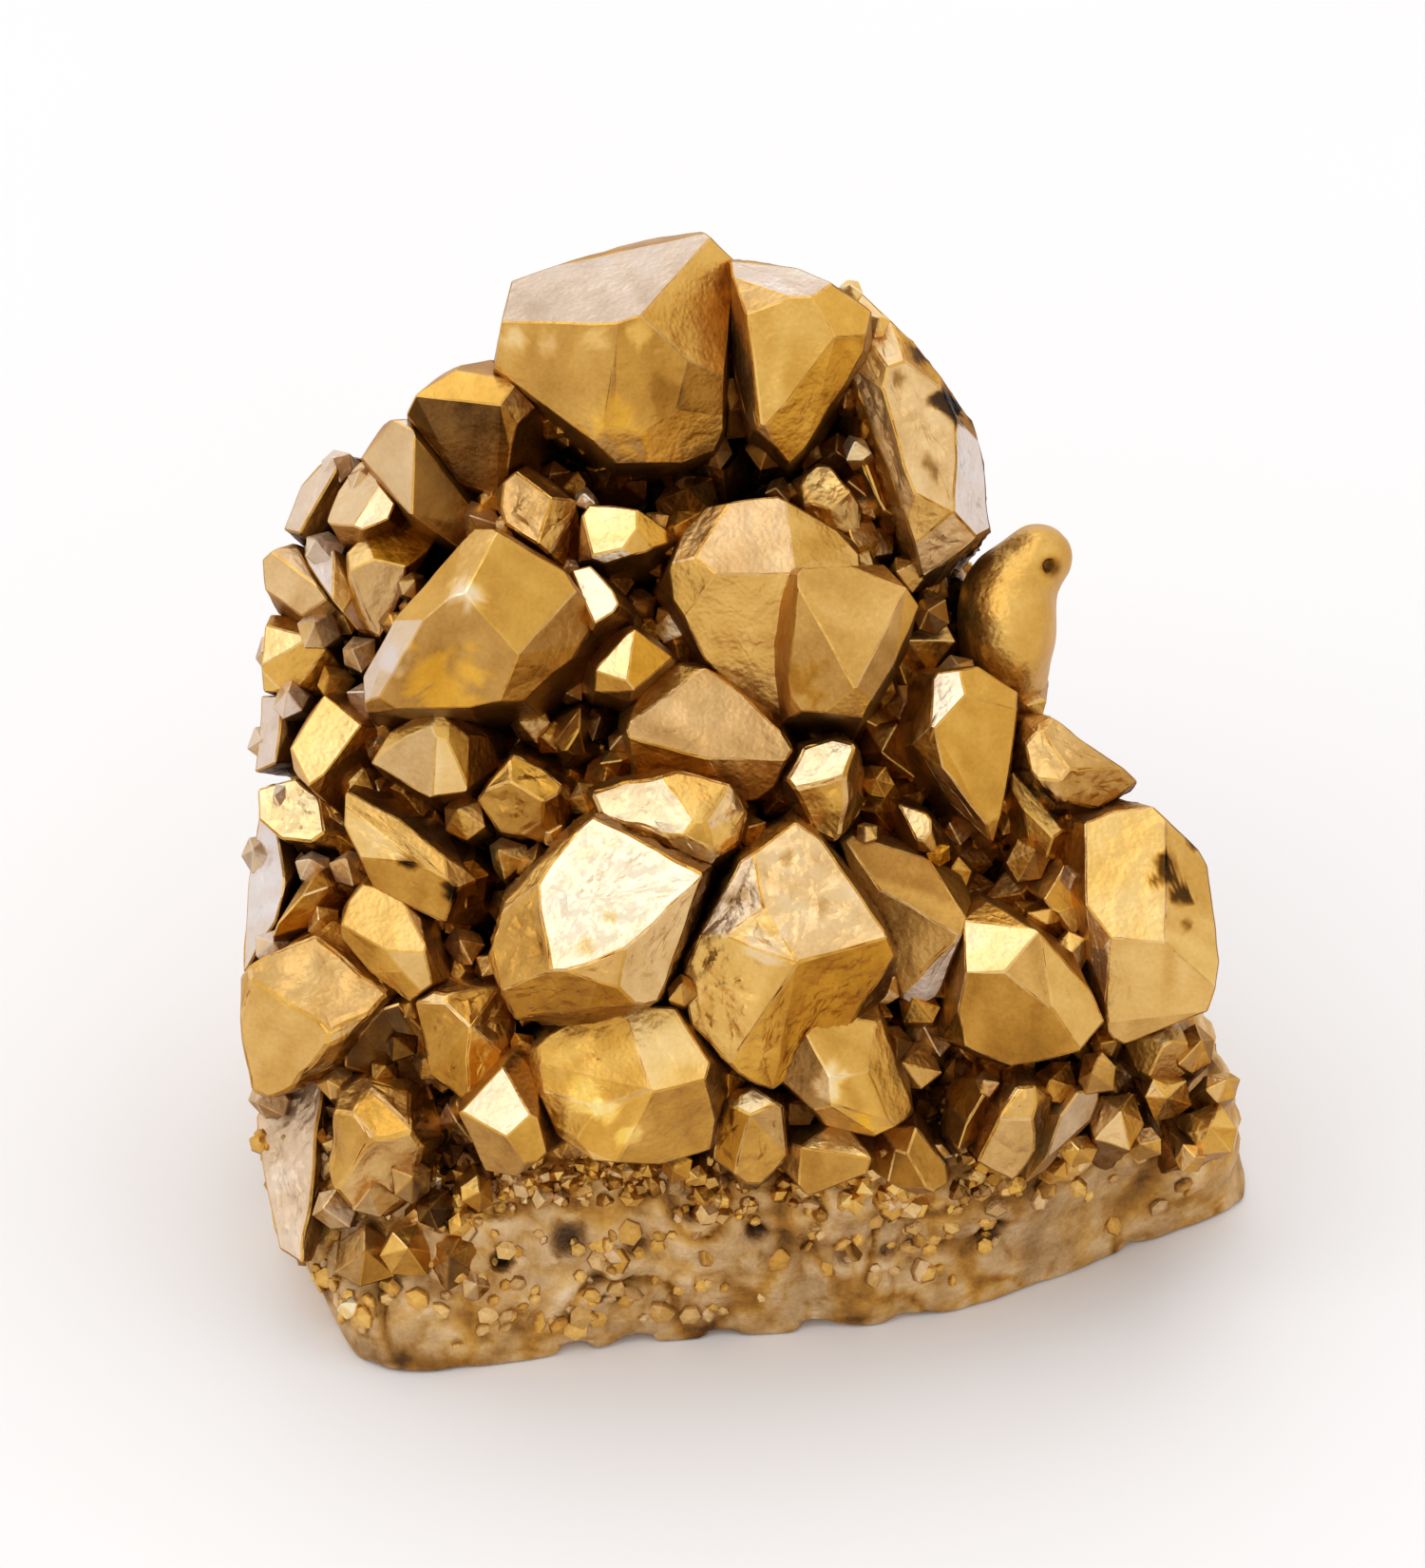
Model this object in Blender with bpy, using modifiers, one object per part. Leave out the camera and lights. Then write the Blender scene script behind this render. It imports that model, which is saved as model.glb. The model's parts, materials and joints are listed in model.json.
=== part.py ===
"""Gold-coated quartz cluster: a lump of granular rock with hexagonal quartz points grown on its leaning face.

Lengths are millimetres in the tables and metres in the scene, +Z is up and +X is across the width.
The crystals are laid out on the growth face, a plane that leans back from the table by GROWTH_LEAN:
  a  runs across the face, along +X
  b  runs up the face
  c  stands out of the face, the way the crystals grow
Each crystal is a block cut by flat planes. Its prism sides pass through the corners of "rim", at the
height "level", and run along the crystal's own axis. Its end faces are "facets": the compass angle the
face turns to (0 along a, 90 up the face), its slope, and a point on it.
"""
import math

import bmesh
import bpy
from mathutils import Matrix, Vector, noise

MM = 0.001
GROWTH_LEAN = math.radians(35)
GAP = 0.3
CENTRE = (-3, 50)
AXIS_FAN = 0.3
AXIS_LEAN_MAX = 16
LEVEL_DROP = 5
ROOT_DEPTH = 14
BLOCK = 90
ROCK_GRAIN = 4.2
ROCK_ROUGHNESS = 1.1
ROCK_SWELL = 22

CRYSTALS = {
    # crown, left to right
    "summit_crystal": dict(level=11, lean=(90, 4), rim=[
        (-20.3, 96.6), (-8.5, 100.8), (-3.8, 101), (-0.8, 98.4), (-2.6, 84), (-3.4, 82.6), (-6, 81.5), (-11, 81),
        (-21.4, 88.5), (-21, 93)],
        facets=[(105, 52, (-9, 93.3, 21)), (8, 44, (-9, 93.3, 21)), (228, 30, (-11, 92, 21)),
                (-58, 32, (-11, 92, 21)), (-56, 50, (-10, 82.5, 15.6))]),
    "summit_left_crystal": dict(level=13, rim=[
        (-29.5, 85), (-26.3, 88.8), (-22.5, 89.9), (-20.5, 88), (-18.2, 85.3), (-19.2, 82.2), (-22, 79.6),
        (-24.8, 80.5)],
        facets=[(100, 35, (-22, 86.3, 16)), (252, 45, (-23, 85.8, 16)), (-10, 48, (-20.3, 85.8, 15.5))]),
    "summit_right_crystal": dict(level=14, lean=(90, 4), rim=[
        (-1, 98), (2.8, 98.6), (7.3, 96.3), (11.1, 93.7), (10.3, 90.3), (5.3, 83), (3.9, 81.6), (0.7, 84), (-0.5, 90)],
        facets=[(95, 55, (3, 95, 19)), (245, 14, (3, 95, 19)), (-50, 50, (4, 86.3, 17)), (200, 45, (0.5, 89, 17)),
                (20, 35, (8.5, 93, 18))]),
    "ridge_right_crystal": dict(level=8, rim=[
        (8.5, 95.2), (10.2, 96.3), (15, 91), (20.6, 83.7), (21.8, 75.3), (18.1, 72.3), (15.6, 71.3), (13.6, 76), (9.2, 88)],
        facets=[(20, 22, (14.3, 80, 13)), (195, 45, (14.3, 80, 13)), (75, 38, (12, 92.5, 10)), (-70, 45, (17, 75, 11)),
                (5, 55, (20.3, 79, 9))]),
    "ridge_amber_crystal": dict(rim=[
        (8.8, 80.4), (13.1, 81.3), (14.3, 75.4), (12.2, 74.8), (10.2, 77)],
        facets=[(200, 30, (11.5, 78, 9)), (20, 40, (13.2, 78, 8))]),
    "shoulder_upper_crystal": dict(level=10, rim=[
        (-33.8, 81.6), (-32, 84.2), (-29.9, 85), (-27, 84.2), (-24.6, 80), (-21.8, 76), (-24.9, 73.6), (-29, 76),
        (-31.6, 79)],
        facets=[(90, 48, (-28.8, 83.6, 13)), (182, 32, (-28.8, 83.6, 13)), (-5, 36, (-28.8, 83.6, 13))]),
    "shoulder_white_crystal": dict(level=6, rim=[
        (-36.3, 75.8), (-35.6, 78.5), (-33.8, 81.5), (-32, 81.3), (-29.6, 77.7), (-30.4, 75.4), (-33.5, 74), (-35.3, 74.4)],
        facets=[(128, 22, (-32.8, 76, 10)), (128, 48, (-34.6, 77.6, 9.3))]),
    "shoulder_crystal": dict(level=5, rim=[
        (-34.6, 72.5), (-33.5, 73.8), (-28.8, 76), (-26.3, 74.2), (-29.6, 69.2), (-31.5, 66), (-34, 67)],
        facets=[(80, 35, (-31.5, 72.2, 9)), (255, 25, (-31.5, 72.2, 9)), (-25, 50, (-29.6, 70.5, 8.2))]),
    "shoulder_band_crystal": dict(level=4, rim=[
        (-39.8, 74.3), (-38.2, 74.6), (-35.5, 73), (-32.5, 67.5), (-32.3, 66), (-33.8, 66.2), (-38.5, 72)],
        facets=[(150, 40, (-35.5, 70.5, 7)), (0, 40, (-35, 71.5, 7))]),
    "rim_top_crystal": dict(level=2, rim=[
        (-40.7, 75.2), (-38.2, 81.2), (-34.3, 81.7), (-36.6, 76), (-38.2, 74.4)],
        facets=[(160, 45, (-37, 78, 5)), (-20, 40, (-37, 78, 5))]),
    "rim_crystal": dict(level=2, rim=[
        (-42.3, 72.5), (-40.2, 74.1), (-37.9, 72.6), (-36, 69), (-35.5, 68.2), (-37.4, 66.7), (-42.1, 68.3)],
        facets=[(205, 28, (-38, 70.5, 5)), (75, 35, (-38, 70.5, 5))]),
    "rim_middle_crystal": dict(level=2, rim=[
        (-42.4, 67.8), (-39.5, 67.3), (-37.6, 66), (-34.6, 61.5), (-35.6, 60.6), (-39.6, 60.8), (-42.8, 60.5)],
        facets=[(150, 28, (-38.6, 64.5, 4)), (-60, 40, (-38.6, 64.5, 4)), (240, 35, (-39, 63.5, 4))]),

    # upper half
    "great_left_crystal": dict(rim=[
        (-23.8, 74.3), (-21, 74.2), (-15.2, 70.6), (-13.2, 67.5), (-13.4, 64.8), (-18.8, 59.8), (-23.2, 59.2),
        (-32.2, 59.2), (-33, 62.8), (-29.2, 67)],
        facets=[(15, 25, (-24.2, 69.2, 22)), (245, 28, (-24.2, 69.2, 22)), (130, 40, (-24.2, 69.2, 22)),
                (-20, 48, (-17.3, 66.5, 19.2)), (172, 55, (-30.6, 62, 17))]),
    "grained_crystal": dict(rim=[
        (-21.4, 78), (-18.8, 80.4), (-17.1, 79), (-14.3, 77), (-14.3, 72.5), (-15.6, 71.5), (-20.5, 74.9)],
        facets=[(150, 22, (-17.2, 76.5, 14)), (-10, 38, (-17.2, 76.5, 14))]),
    "bright_nub_crystal": dict(rim=[
        (-14, 75.6), (-12.9, 77.3), (-11.3, 77.5), (-9, 76), (-5.4, 75.4), (-5, 74.4), (-8.3, 72.4), (-12.7, 71.2),
        (-14.1, 71.8)],
        facets=[(130, 22, (-10.5, 74, 16)), (20, 45, (-9.2, 74.6, 16)), (-90, 40, (-10, 73, 16))]),
    "blade_crystal": dict(rim=[
        (-15.3, 70.8), (-13.2, 71.3), (-9.8, 67.7), (-10.1, 66.2), (-12.8, 65.2), (-13.9, 67.5)],
        facets=[(125, 20, (-12, 68.3, 17)), (-70, 55, (-11.5, 66.5, 17))]),
    "small_pyramid_crystal": dict(rim=[
        (-9.9, 66.4), (-6.2, 63.5), (-9.9, 59.9), (-12.9, 60.6), (-14, 62), (-12.3, 65)],
        facets=[(135, 20, (-9.9, 63.5, 16)), (20, 26, (-9.9, 63.5, 16)), (230, 40, (-12.2, 62, 15.5))]),
    "centre_back_crystal": dict(rim=[
        (-7, 70), (-4.9, 74.6), (-3.2, 76.5), (2.8, 77.4), (9.3, 73.6), (10, 69), (3.5, 58.8), (2, 59.4), (-3.2, 64)],
        facets=[(105, 18, (0.5, 71, 16)), (262, 30, (0.5, 71, 16)), (30, 40, (4.5, 73.5, 15.2)),
                (205, 30, (-2.5, 70.5, 15.6))]),
    "striped_nub_crystal": dict(rim=[
        (4.6, 78.9), (6.8, 80.5), (9.9, 76.8), (9.7, 74.2), (5.3, 75.2)],
        facets=[(110, 25, (7, 77.3, 11)), (-40, 40, (7.5, 76.5, 11)), (200, 40, (6, 77, 11))]),
    "centre_crystal": dict(rim=[
        (4.2, 70.9), (11.9, 71.4), (15.4, 67.6), (12.6, 62.8), (10.4, 58.2), (4, 58.7), (2.9, 67)],
        facets=[(35, 18, (4.4, 70.3, 20)), (205, 25, (4.4, 70.3, 20)), (-75, 50, (8, 60.7, 20.5)),
                (-10, 45, (13, 66.5, 18))]),
    "middle_crystal": dict(rim=[
        (-10.3, 57.3), (-9.5, 59.5), (-6.5, 62.8), (-3.2, 62.5), (1.7, 59), (4.3, 55.6), (2, 51.8), (-3.5, 51),
        (-9, 53.4)],
        facets=[(80, 20, (-3.2, 54.9, 15)), (252, 42, (-3.2, 54.9, 15)), (-86, 42, (-3.2, 54.9, 15))]),
    "cross_nub_crystal": dict(rim=[
        (-16.9, 57.5), (-14.1, 59.3), (-12.7, 57.5), (-13.2, 55.6), (-15.4, 54.8)],
        facets=[(150, 28, (-14.8, 57, 10)), (-30, 35, (-14.8, 57, 10))]),
    "right_tall_crystal": dict(rim=[
        (15.5, 62), (20, 62.9), (23.7, 60.6), (22.4, 52.5), (21.5, 48.2), (18.5, 51), (14.2, 56.2), (15, 59.5)],
        facets=[(-35, 24, (18.5, 58.5, 13)), (128, 22, (18, 59.4, 13.2)), (215, 40, (15.8, 57, 12.5)),
                (40, 35, (21.5, 60.5, 12))]),
    "right_block_crystal": dict(rim=[
        (23.6, 56.4), (24.3, 58.2), (26.1, 58.8), (29.4, 56.5), (35.3, 52.6), (33.2, 51.2), (30.6, 50.8), (28, 49.4),
        (24.2, 53.8)],
        facets=[(150, 16, (27, 55, 11)), (52, 45, (29, 55.5, 10)), (-40, 40, (29.5, 52.5, 10))]),
    "right_under_crystal": dict(rim=[
        (22.9, 53.5), (23.8, 53.8), (27.7, 49.2), (27.6, 46.6), (25.2, 46.4), (22.9, 50.5)],
        facets=[(60, 22, (25.2, 50, 8)), (220, 35, (25.2, 50, 8))]),

    # middle band
    "left_square_crystal": dict(level=5, rim=[
        (-36.6, 60.5), (-32.5, 57.4), (-33.9, 54.2), (-35.8, 50.8), (-39.4, 54), (-39.6, 57.8)],
        facets=[(105, 15, (-36, 56.5, 8)), (-50, 50, (-34.3, 55, 8))]),
    "left_pyramid_crystal": dict(rim=[
        (-26.8, 59.2), (-22.9, 57), (-22.2, 54.6), (-24, 52), (-27.1, 51.6), (-31.9, 54.6), (-30.5, 57)],
        facets=[(200, 28, (-26.8, 58.6, 13)), (265, 12, (-26.8, 58.6, 13)), (5, 31, (-26.8, 58.6, 13)),
                (120, 45, (-27.2, 58.6, 13))]),
    "rough_brown_crystal": dict(rim=[
        (-19.9, 55.3), (-17.5, 54.2), (-15.2, 52.3), (-14.5, 50), (-16.6, 47.8), (-21, 48.8), (-22.9, 51.3)],
        facets=[(70, 24, (-18.7, 52, 12)), (235, 28, (-18.7, 52, 12)), (-40, 40, (-17.2, 51, 11.8))]),
    "long_left_crystal": dict(rim=[
        (-34.3, 52), (-32.7, 52.2), (-29.6, 49.7), (-24.6, 47.1), (-23, 45.6), (-23.6, 41.2), (-25.5, 40.8),
        (-31.6, 43.5), (-34.8, 50)],
        facets=[(75, 20, (-28.3, 45.7, 12)), (235, 30, (-28.3, 45.7, 12)), (-50, 40, (-26, 43.3, 12))]),
    "left_chip_crystal": dict(level=2, rim=[
        (-43.1, 52.3), (-39.6, 53.2), (-36, 50.6), (-33.9, 48.3), (-35.5, 46.7), (-39, 46.8), (-42.8, 49.6)],
        facets=[(120, 24, (-38.7, 48.5, 4)), (-60, 45, (-37.6, 47.8, 4)), (40, 40, (-36.6, 49.5, 3.5))]),
    "rim_pale_crystal": dict(level=0, rim=[
        (-42.7, 60.6), (-40.4, 60.6), (-40, 55), (-41, 53.2), (-43.3, 53)],
        facets=[(170, 40, (-41.2, 57, 2)), (0, 40, (-41.2, 57, 2))]),
    "rim_low_crystal": dict(level=0, rim=[
        (-43.5, 50.3), (-41.5, 48.8), (-40.2, 46.4), (-39.7, 44.8), (-41.8, 38.4), (-44.3, 36), (-44.2, 44)],
        facets=[(165, 45, (-40.8, 44, 2)), (10, 45, (-40.8, 44, 2))]),
    "amber_wedge_crystal": dict(rim=[
        (-41.4, 38.3), (-39.4, 42.8), (-38, 45.2), (-36.6, 45), (-35, 42.6), (-34.8, 40.2), (-38.5, 39.2)],
        facets=[(-60, 32, (-37.6, 43.3, 6)), (100, 40, (-37.6, 43.3, 6))]),
    "flat_gold_crystal": dict(rim=[
        (-34.6, 41.9), (-32.7, 44), (-30.2, 43.4), (-28.1, 41.7), (-25.9, 36), (-28.8, 34.2), (-32, 36.7),
        (-34.5, 39.6)],
        facets=[(95, 14, (-30.5, 39, 11)), (0, 48, (-27.6, 39.5, 10.9)), (230, 45, (-32.5, 38.5, 10.7))]),
    "heart_back_crystal": dict(rim=[
        (-13.8, 51.6), (-9.9, 53), (-5.7, 53.9), (-1.3, 52.3), (0.2, 50.6), (-0.3, 47.5), (-2.7, 45.4), (-9, 47.4),
        (-13.4, 49.8)],
        facets=[(118, 18, (-5.5, 50, 18)), (15, 40, (-3.2, 50, 17.8)), (-100, 35, (-6, 48.2, 18.4))]),
    "heart_crystal": dict(rim=[
        (-12.9, 49.8), (-3.1, 45.3), (-5.2, 39.8), (-7.3, 34.2), (-14, 32.2), (-19.6, 32.8), (-21.7, 37.6),
        (-20.4, 42.5), (-15.4, 47.8)],
        facets=[(130, 20, (-11, 37.8, 24)), (-45, 32, (-11, 37.8, 24)), (165, 38, (-16.7, 38, 22.7)),
                (-102, 48, (-12, 36.7, 24.1))]),
    "snow_crystal": dict(rim=[
        (8.3, 56.9), (9.8, 55.3), (9.9, 52), (9.3, 49.6), (7.8, 47.8), (5.8, 48.8), (3.6, 53.2), (5, 55.8)],
        facets=[(130, 20, (7, 52.5, 16)), (-20, 42, (9, 52.5, 16)), (-110, 35, (7, 51.5, 16.5))]),
    "splinter_crystal": dict(rim=[
        (13.2, 51), (15.6, 50.2), (18, 47.3), (17.9, 45.8), (15.2, 46.7)],
        facets=[(135, 25, (15.8, 48.5, 12)), (-35, 35, (16.2, 48.2, 12))]),
    "valley_crystal": dict(rim=[
        (8.2, 47.6), (10.4, 49.3), (15.4, 46.3), (18.2, 45.4), (19.4, 42.3), (18.1, 38.5), (16.5, 34.8), (15, 34.1),
        (13.2, 35.3)],
        facets=[(70, 20, (14.5, 41.5, 13)), (235, 35, (12.5, 43, 12.6)), (-80, 40, (15.8, 39, 13))]),
    "frosted_crystal": dict(rim=[
        (-5.2, 36.4), (-4.4, 39.8), (-1, 45.8), (4.3, 49.6), (6.5, 48), (12, 40.3), (12.9, 38), (11.8, 34.4), (2.5, 27),
        (-0.4, 28.2), (-4.4, 32)],
        facets=[(62, 18, (2.8, 38.8, 21)), (222, 26, (2.8, 38.8, 21)), (150, 22, (0, 42.5, 19.6)),
                (-62, 46, (8.8, 38.2, 20))]),
    "white_cap_crystal": dict(rim=[
        (19, 41), (21.9, 42.4), (24.7, 40.4), (28, 38.7), (31, 32.2), (28.9, 29.6), (23.3, 28.6), (18.5, 30.7)],
        facets=[(130, 20, (24.6, 36.4, 15)), (5, 26, (24.6, 36.4, 15)), (245, 27, (24.6, 36.4, 15))]),
    "inner_amber_crystal": dict(rim=[
        (23.7, 41.9), (25, 44.4), (27.8, 45.9), (30.2, 40.6), (29.4, 37.4), (28.4, 38.8), (25, 40.6)],
        facets=[(75, 26, (27, 41.8, 9)), (240, 30, (27, 41.8, 9)), (-20, 42, (29, 40.5, 8.8))]),
    "great_right_crystal": dict(level=8, rim=[
        (28.2, 47.5), (29, 49.2), (31.9, 50.3), (35.6, 50.8), (39.7, 47), (42.1, 42.7), (41.4, 37.3), (40.4, 32.8),
        (33.1, 29.6), (31.2, 32.5)],
        facets=[(100, 12, (34, 40, 12)), (-100, 26, (34, 39.2, 12.2)), (20, 30, (38.2, 42, 11)),
                (205, 45, (30.6, 41, 11.4))]),

    # lower half
    "swirl_crystal": dict(level=6, rim=[
        (-41.6, 37.9), (-36, 40.2), (-32.7, 38.1), (-30.2, 34.9), (-36, 28.5), (-39.3, 26), (-43.5, 24.3), (-44.4, 30),
        (-44.3, 35.8)],
        facets=[(95, 12, (-36.5, 34, 9)), (225, 32, (-38, 31.5, 9)), (-60, 35, (-34.6, 31, 9))]),
    "shade_crystal": dict(rim=[
        (-35.8, 28.5), (-34.8, 31), (-32.7, 33), (-29.3, 34.2), (-27.6, 32.6), (-27, 29.8), (-28.2, 27.3), (-31.3, 27.5)],
        facets=[(-75, 35, (-31, 31.5, 7)), (-15, 40, (-29, 31, 6.5))]),
    "rough_amber_crystal": dict(rim=[
        (-28.2, 33.9), (-26, 35.3), (-20.4, 35), (-20, 30.1), (-21.8, 27.5), (-24.1, 25.4), (-26.8, 27.8)],
        facets=[(70, 26, (-24, 31.5, 12)), (-35, 28, (-24, 31.5, 12)), (205, 32, (-24, 31.5, 12))]),
    "kite_crystal": dict(rim=[
        (-19.8, 29.5), (-24.4, 24.7), (-22.4, 19.2), (-19.6, 19), (-16.5, 21.5), (-16.2, 23.2), (-18.2, 27.4)],
        facets=[(120, 18, (-20, 24, 16)), (228, 50, (-21.8, 22.6, 16)), (-85, 45, (-19.2, 20.4, 17)),
                (5, 50, (-17.4, 24, 15.2))]),
    "banded_crystal": dict(rim=[
        (-18.6, 28.7), (-16.5, 30.8), (-12.4, 33.1), (-9.9, 34), (-6, 33.4), (-1.8, 27.4), (-3, 20.4), (-7, 19.4),
        (-13.2, 20), (-16, 22.6)],
        facets=[(62, 22, (-8.8, 28.2, 19)), (165, 28, (-8.8, 28.2, 19)), (-62, 50, (-6.3, 26.2, 19)),
                (245, 34, (-9.5, 26.2, 19.2))]),
    "cap_nub_crystal": dict(rim=[
        (-2.7, 20), (-1.6, 25.5), (0.8, 26.7), (3.3, 25.2), (3.6, 20.5), (1.2, 17)],
        facets=[(100, 25, (0.4, 23.8, 13)), (-60, 38, (0.4, 23.8, 13)), (215, 38, (0.4, 23.8, 13))]),
    "low_prism_crystal": dict(rim=[
        (6.4, 33.6), (9.2, 34.8), (11.2, 33.4), (14.6, 24.2), (11.1, 22.3), (7.2, 23.6), (2.8, 28), (4.5, 31.2)],
        facets=[(35, 22, (7, 29, 16)), (205, 42, (6.2, 29, 16)), (-80, 45, (9.5, 25.2, 15.6)), (5, 50, (11.8, 28.5, 13.8))]),
    "rimmed_crystal": dict(rim=[
        (3.2, 20), (4.7, 22.8), (8, 23.5), (11.2, 22.3), (10.5, 19.2), (5.5, 17)],
        facets=[(85, 32, (7, 20.6, 11)), (-105, 26, (7, 20.6, 11))]),
    "brown_wedge_crystal": dict(rim=[
        (11.2, 22.4), (14.8, 23.2), (18.4, 18.5), (15, 17), (11.7, 18.5)],
        facets=[(25, 28, (14, 20.8, 9)), (215, 36, (14, 20.8, 9))]),
    "white_blade_crystal": dict(rim=[
        (18.1, 22.4), (19, 25.8), (20.3, 26.8), (22, 26.6), (20, 21.6), (18.6, 20.8)],
        facets=[(132, 22, (20, 24, 8)), (-30, 45, (20.6, 23.8, 8))]),
    "white_tip_crystal": dict(rim=[
        (20.3, 20), (21.8, 24.6), (24.2, 27.7), (26.8, 25.4), (25.6, 20), (23.7, 17.8)],
        facets=[(120, 22, (24.2, 24.2, 10)), (-80, 34, (24, 24, 10.2)), (10, 45, (25.2, 24, 10))]),
    "grey_blade_crystal": dict(rim=[
        (30.6, 26.4), (27.2, 26.4), (25.6, 22.6), (24.7, 17.8), (26.8, 18.6), (30.8, 24.2)],
        facets=[(150, 35, (27.8, 23.6, 7)), (-40, 40, (28, 23.4, 7))]),
    "bar_crystal": dict(level=3, rim=[
        (33, 29.4), (36.9, 31.6), (38.5, 30.8), (39.8, 28.4), (38.2, 25), (35.4, 25.2), (34.8, 27.2)],
        facets=[(128, 24, (36.4, 29.6, 6)), (-60, 40, (36.6, 29.2, 6)), (-140, 45, (35.6, 27, 5))]),
    "flank_crystal": dict(level=-3, rim=[
        (-40.8, 26.5), (-37.7, 28.1), (-34.3, 26.8), (-35.8, 20), (-35.7, 15), (-37.4, 10.8), (-40.6, 12), (-42.8, 18.7),
        (-43.4, 23)],
        facets=[(165, 38, (-38, 21, 1)), (0, 38, (-37, 21, 1))]),
    "nugget_crystal": dict(level=-3, rim=[
        (-35.2, 21), (-34.4, 26.3), (-32.1, 27.8), (-28.2, 26.5), (-26.6, 22.6), (-28.4, 15.8), (-31, 15.2),
        (-34.6, 17)],
        facets=[(100, 25, (-31, 22.5, 9)), (-78, 38, (-31, 21.6, 9)), (10, 42, (-28.3, 22.6, 8.5)),
                (185, 40, (-33.6, 22.6, 8.5))]),
}

# Coat tone of each crystal; the rest carry the plain gold coat.
AMBER_COAT = (
    "great_left_crystal", "right_tall_crystal", "ridge_amber_crystal", "shoulder_crystal", "rough_brown_crystal",
    "inner_amber_crystal", "amber_wedge_crystal", "rough_amber_crystal", "summit_left_crystal",
    "brown_wedge_crystal", "rimmed_crystal")
PALE_COAT = (
    "rim_top_crystal", "rim_crystal", "rim_low_crystal", "shoulder_band_crystal", "ridge_right_crystal",
    "grey_blade_crystal", "flank_crystal", "valley_crystal", "rim_pale_crystal")
DARK_COAT = ("shade_crystal", "shoulder_upper_crystal", "cross_nub_crystal")

# The rock, as two convex lumps: outward normal and a point on each face. "face" planes are (a, b, c) on
# the growth face and "table" planes are (x, y, z) in the room.
ROCK_LUMPS = {
    "wall": dict(
        face=[((0.02, 0.02, 1), (0, 40, 2)), ((0, 0.16, 1), (0, 64, 1.8)), ((-0.5, 0, 0.86), (-34, 40, 1)),
              ((0.42, 0.1, 0.9), (30, 40, 1.5)), ((-0.85, -0.52, 0), (-33.4, 0, 0)), ((-0.97, 0.1, 0), (-41.5, 36, 0)),
              ((-0.7, 0.71, 0), (-35, 75, 0)), ((0.9, 0.43, 0), (25, 62, 0)), ((0, 1, 0.2), (0, 96, 0)),
              ((-0.4, 1, 0), (-18, 88, 0))],
        table=[((0.18, -0.98, 0.03), (-1, 5.6, 0)), ((0.54, -0.84, 0.05), (24.3, 11, 0)), ((0, 1, 0.04), (0, 60, 20)),
               ((-0.75, 0.66, 0), (-36, 50, 0)), ((0.75, 0.66, 0), (33, 50, 0)), ((0, 0.75, 0.66), (0, 59, 74)),
               ((0, 0.2, 1), (0, 50, 79))]),
    "toe": dict(
        face=[((0.02, 0.02, 1), (30, 28, 3.5)), ((0.8, 0.6, 0), (45, 26.5, 0))],
        table=[((0.18, -0.98, 0.03), (-1, 5.4, 0)), ((0.54, -0.84, 0.02), (24.3, 11, 0)), ((1, 0, 0.02), (45.6, 24, 0)),
               ((0.6, 0.8, 0.2), (38, 40, 5)), ((-1, 0, 0), (8, 0, 0)), ((0, 0, 1), (0, 0, 24))]),
}

# The rounded growth at the right: (a, b, c) of each ball's middle, and its radii along a, b and c.
LOBE_BALLS = [((23.3, 67, 3), (4.6, 7.2, 7)), ((26.0, 72.8, 3), (3.3, 3.2, 4.5)), ((23, 62.6, 1), (4.2, 3.4, 6))]
LOBE_PIT = ((27, 71.9, 7), 0.8)
LOBE_CELL = 0.9


def face_to_room(point):
    """(a, b, c) on the growth face, in mm, to metres in the room."""
    a, b, c = point
    s, k = math.sin(GROWTH_LEAN), math.cos(GROWTH_LEAN)
    return Vector((a, s * b - k * c, k * b + s * c)) * MM


def face_direction(direction):
    return face_to_room(direction).normalized()


def compass_normal(turn, slope):
    """Outward normal of an end face that turns to `turn` and slopes by `slope`, both in degrees."""
    t, s = math.radians(turn), math.radians(slope)
    return Vector((math.sin(s) * math.cos(t), math.sin(s) * math.sin(t), math.cos(s)))


def material(name, colour, roughness, metallic):
    mat = bpy.data.materials.new(name)
    mat.use_nodes = True
    mat.diffuse_color = (*colour, 1)
    shader = mat.node_tree.nodes["Principled BSDF"]
    shader.inputs["Base Color"].default_value = (*colour, 1)
    shader.inputs["Roughness"].default_value = roughness
    shader.inputs["Metallic"].default_value = metallic
    return mat


def collection(name):
    made = bpy.data.collections.new(name)
    bpy.context.scene.collection.children.link(made)
    return made


def solid(name, bm, where):
    bmesh.ops.recalc_face_normals(bm, faces=bm.faces)
    mesh = bpy.data.meshes.new(name)
    bm.to_mesh(mesh)
    bm.free()
    obj = bpy.data.objects.new(name, mesh)
    where.objects.link(obj)
    return obj


def cut_flat(bm, point, normal):
    """Cuts away what lies outside the plane and closes the cut with one face."""
    geometry = bm.verts[:] + bm.edges[:] + bm.faces[:]
    cut = bmesh.ops.bisect_plane(bm, geom=geometry, dist=1e-7, plane_co=point, plane_no=normal, clear_outer=True)
    rim = [item for item in cut["geom_cut"] if isinstance(item, bmesh.types.BMEdge)]
    if rim:
        bmesh.ops.edgeloop_fill(bm, edges=rim)


def cut_block(middle, planes):
    """A block around `middle` cut by every (point, outward normal) in metres."""
    bm = bmesh.new()
    bmesh.ops.create_cube(bm, size=2 * BLOCK * MM, matrix=Matrix.Translation(middle))
    for point, normal in planes:
        cut_flat(bm, point, normal)
    bmesh.ops.remove_doubles(bm, verts=bm.verts, dist=2e-6)
    bmesh.ops.dissolve_degenerate(bm, edges=bm.edges, dist=2e-6)
    return bm


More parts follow.
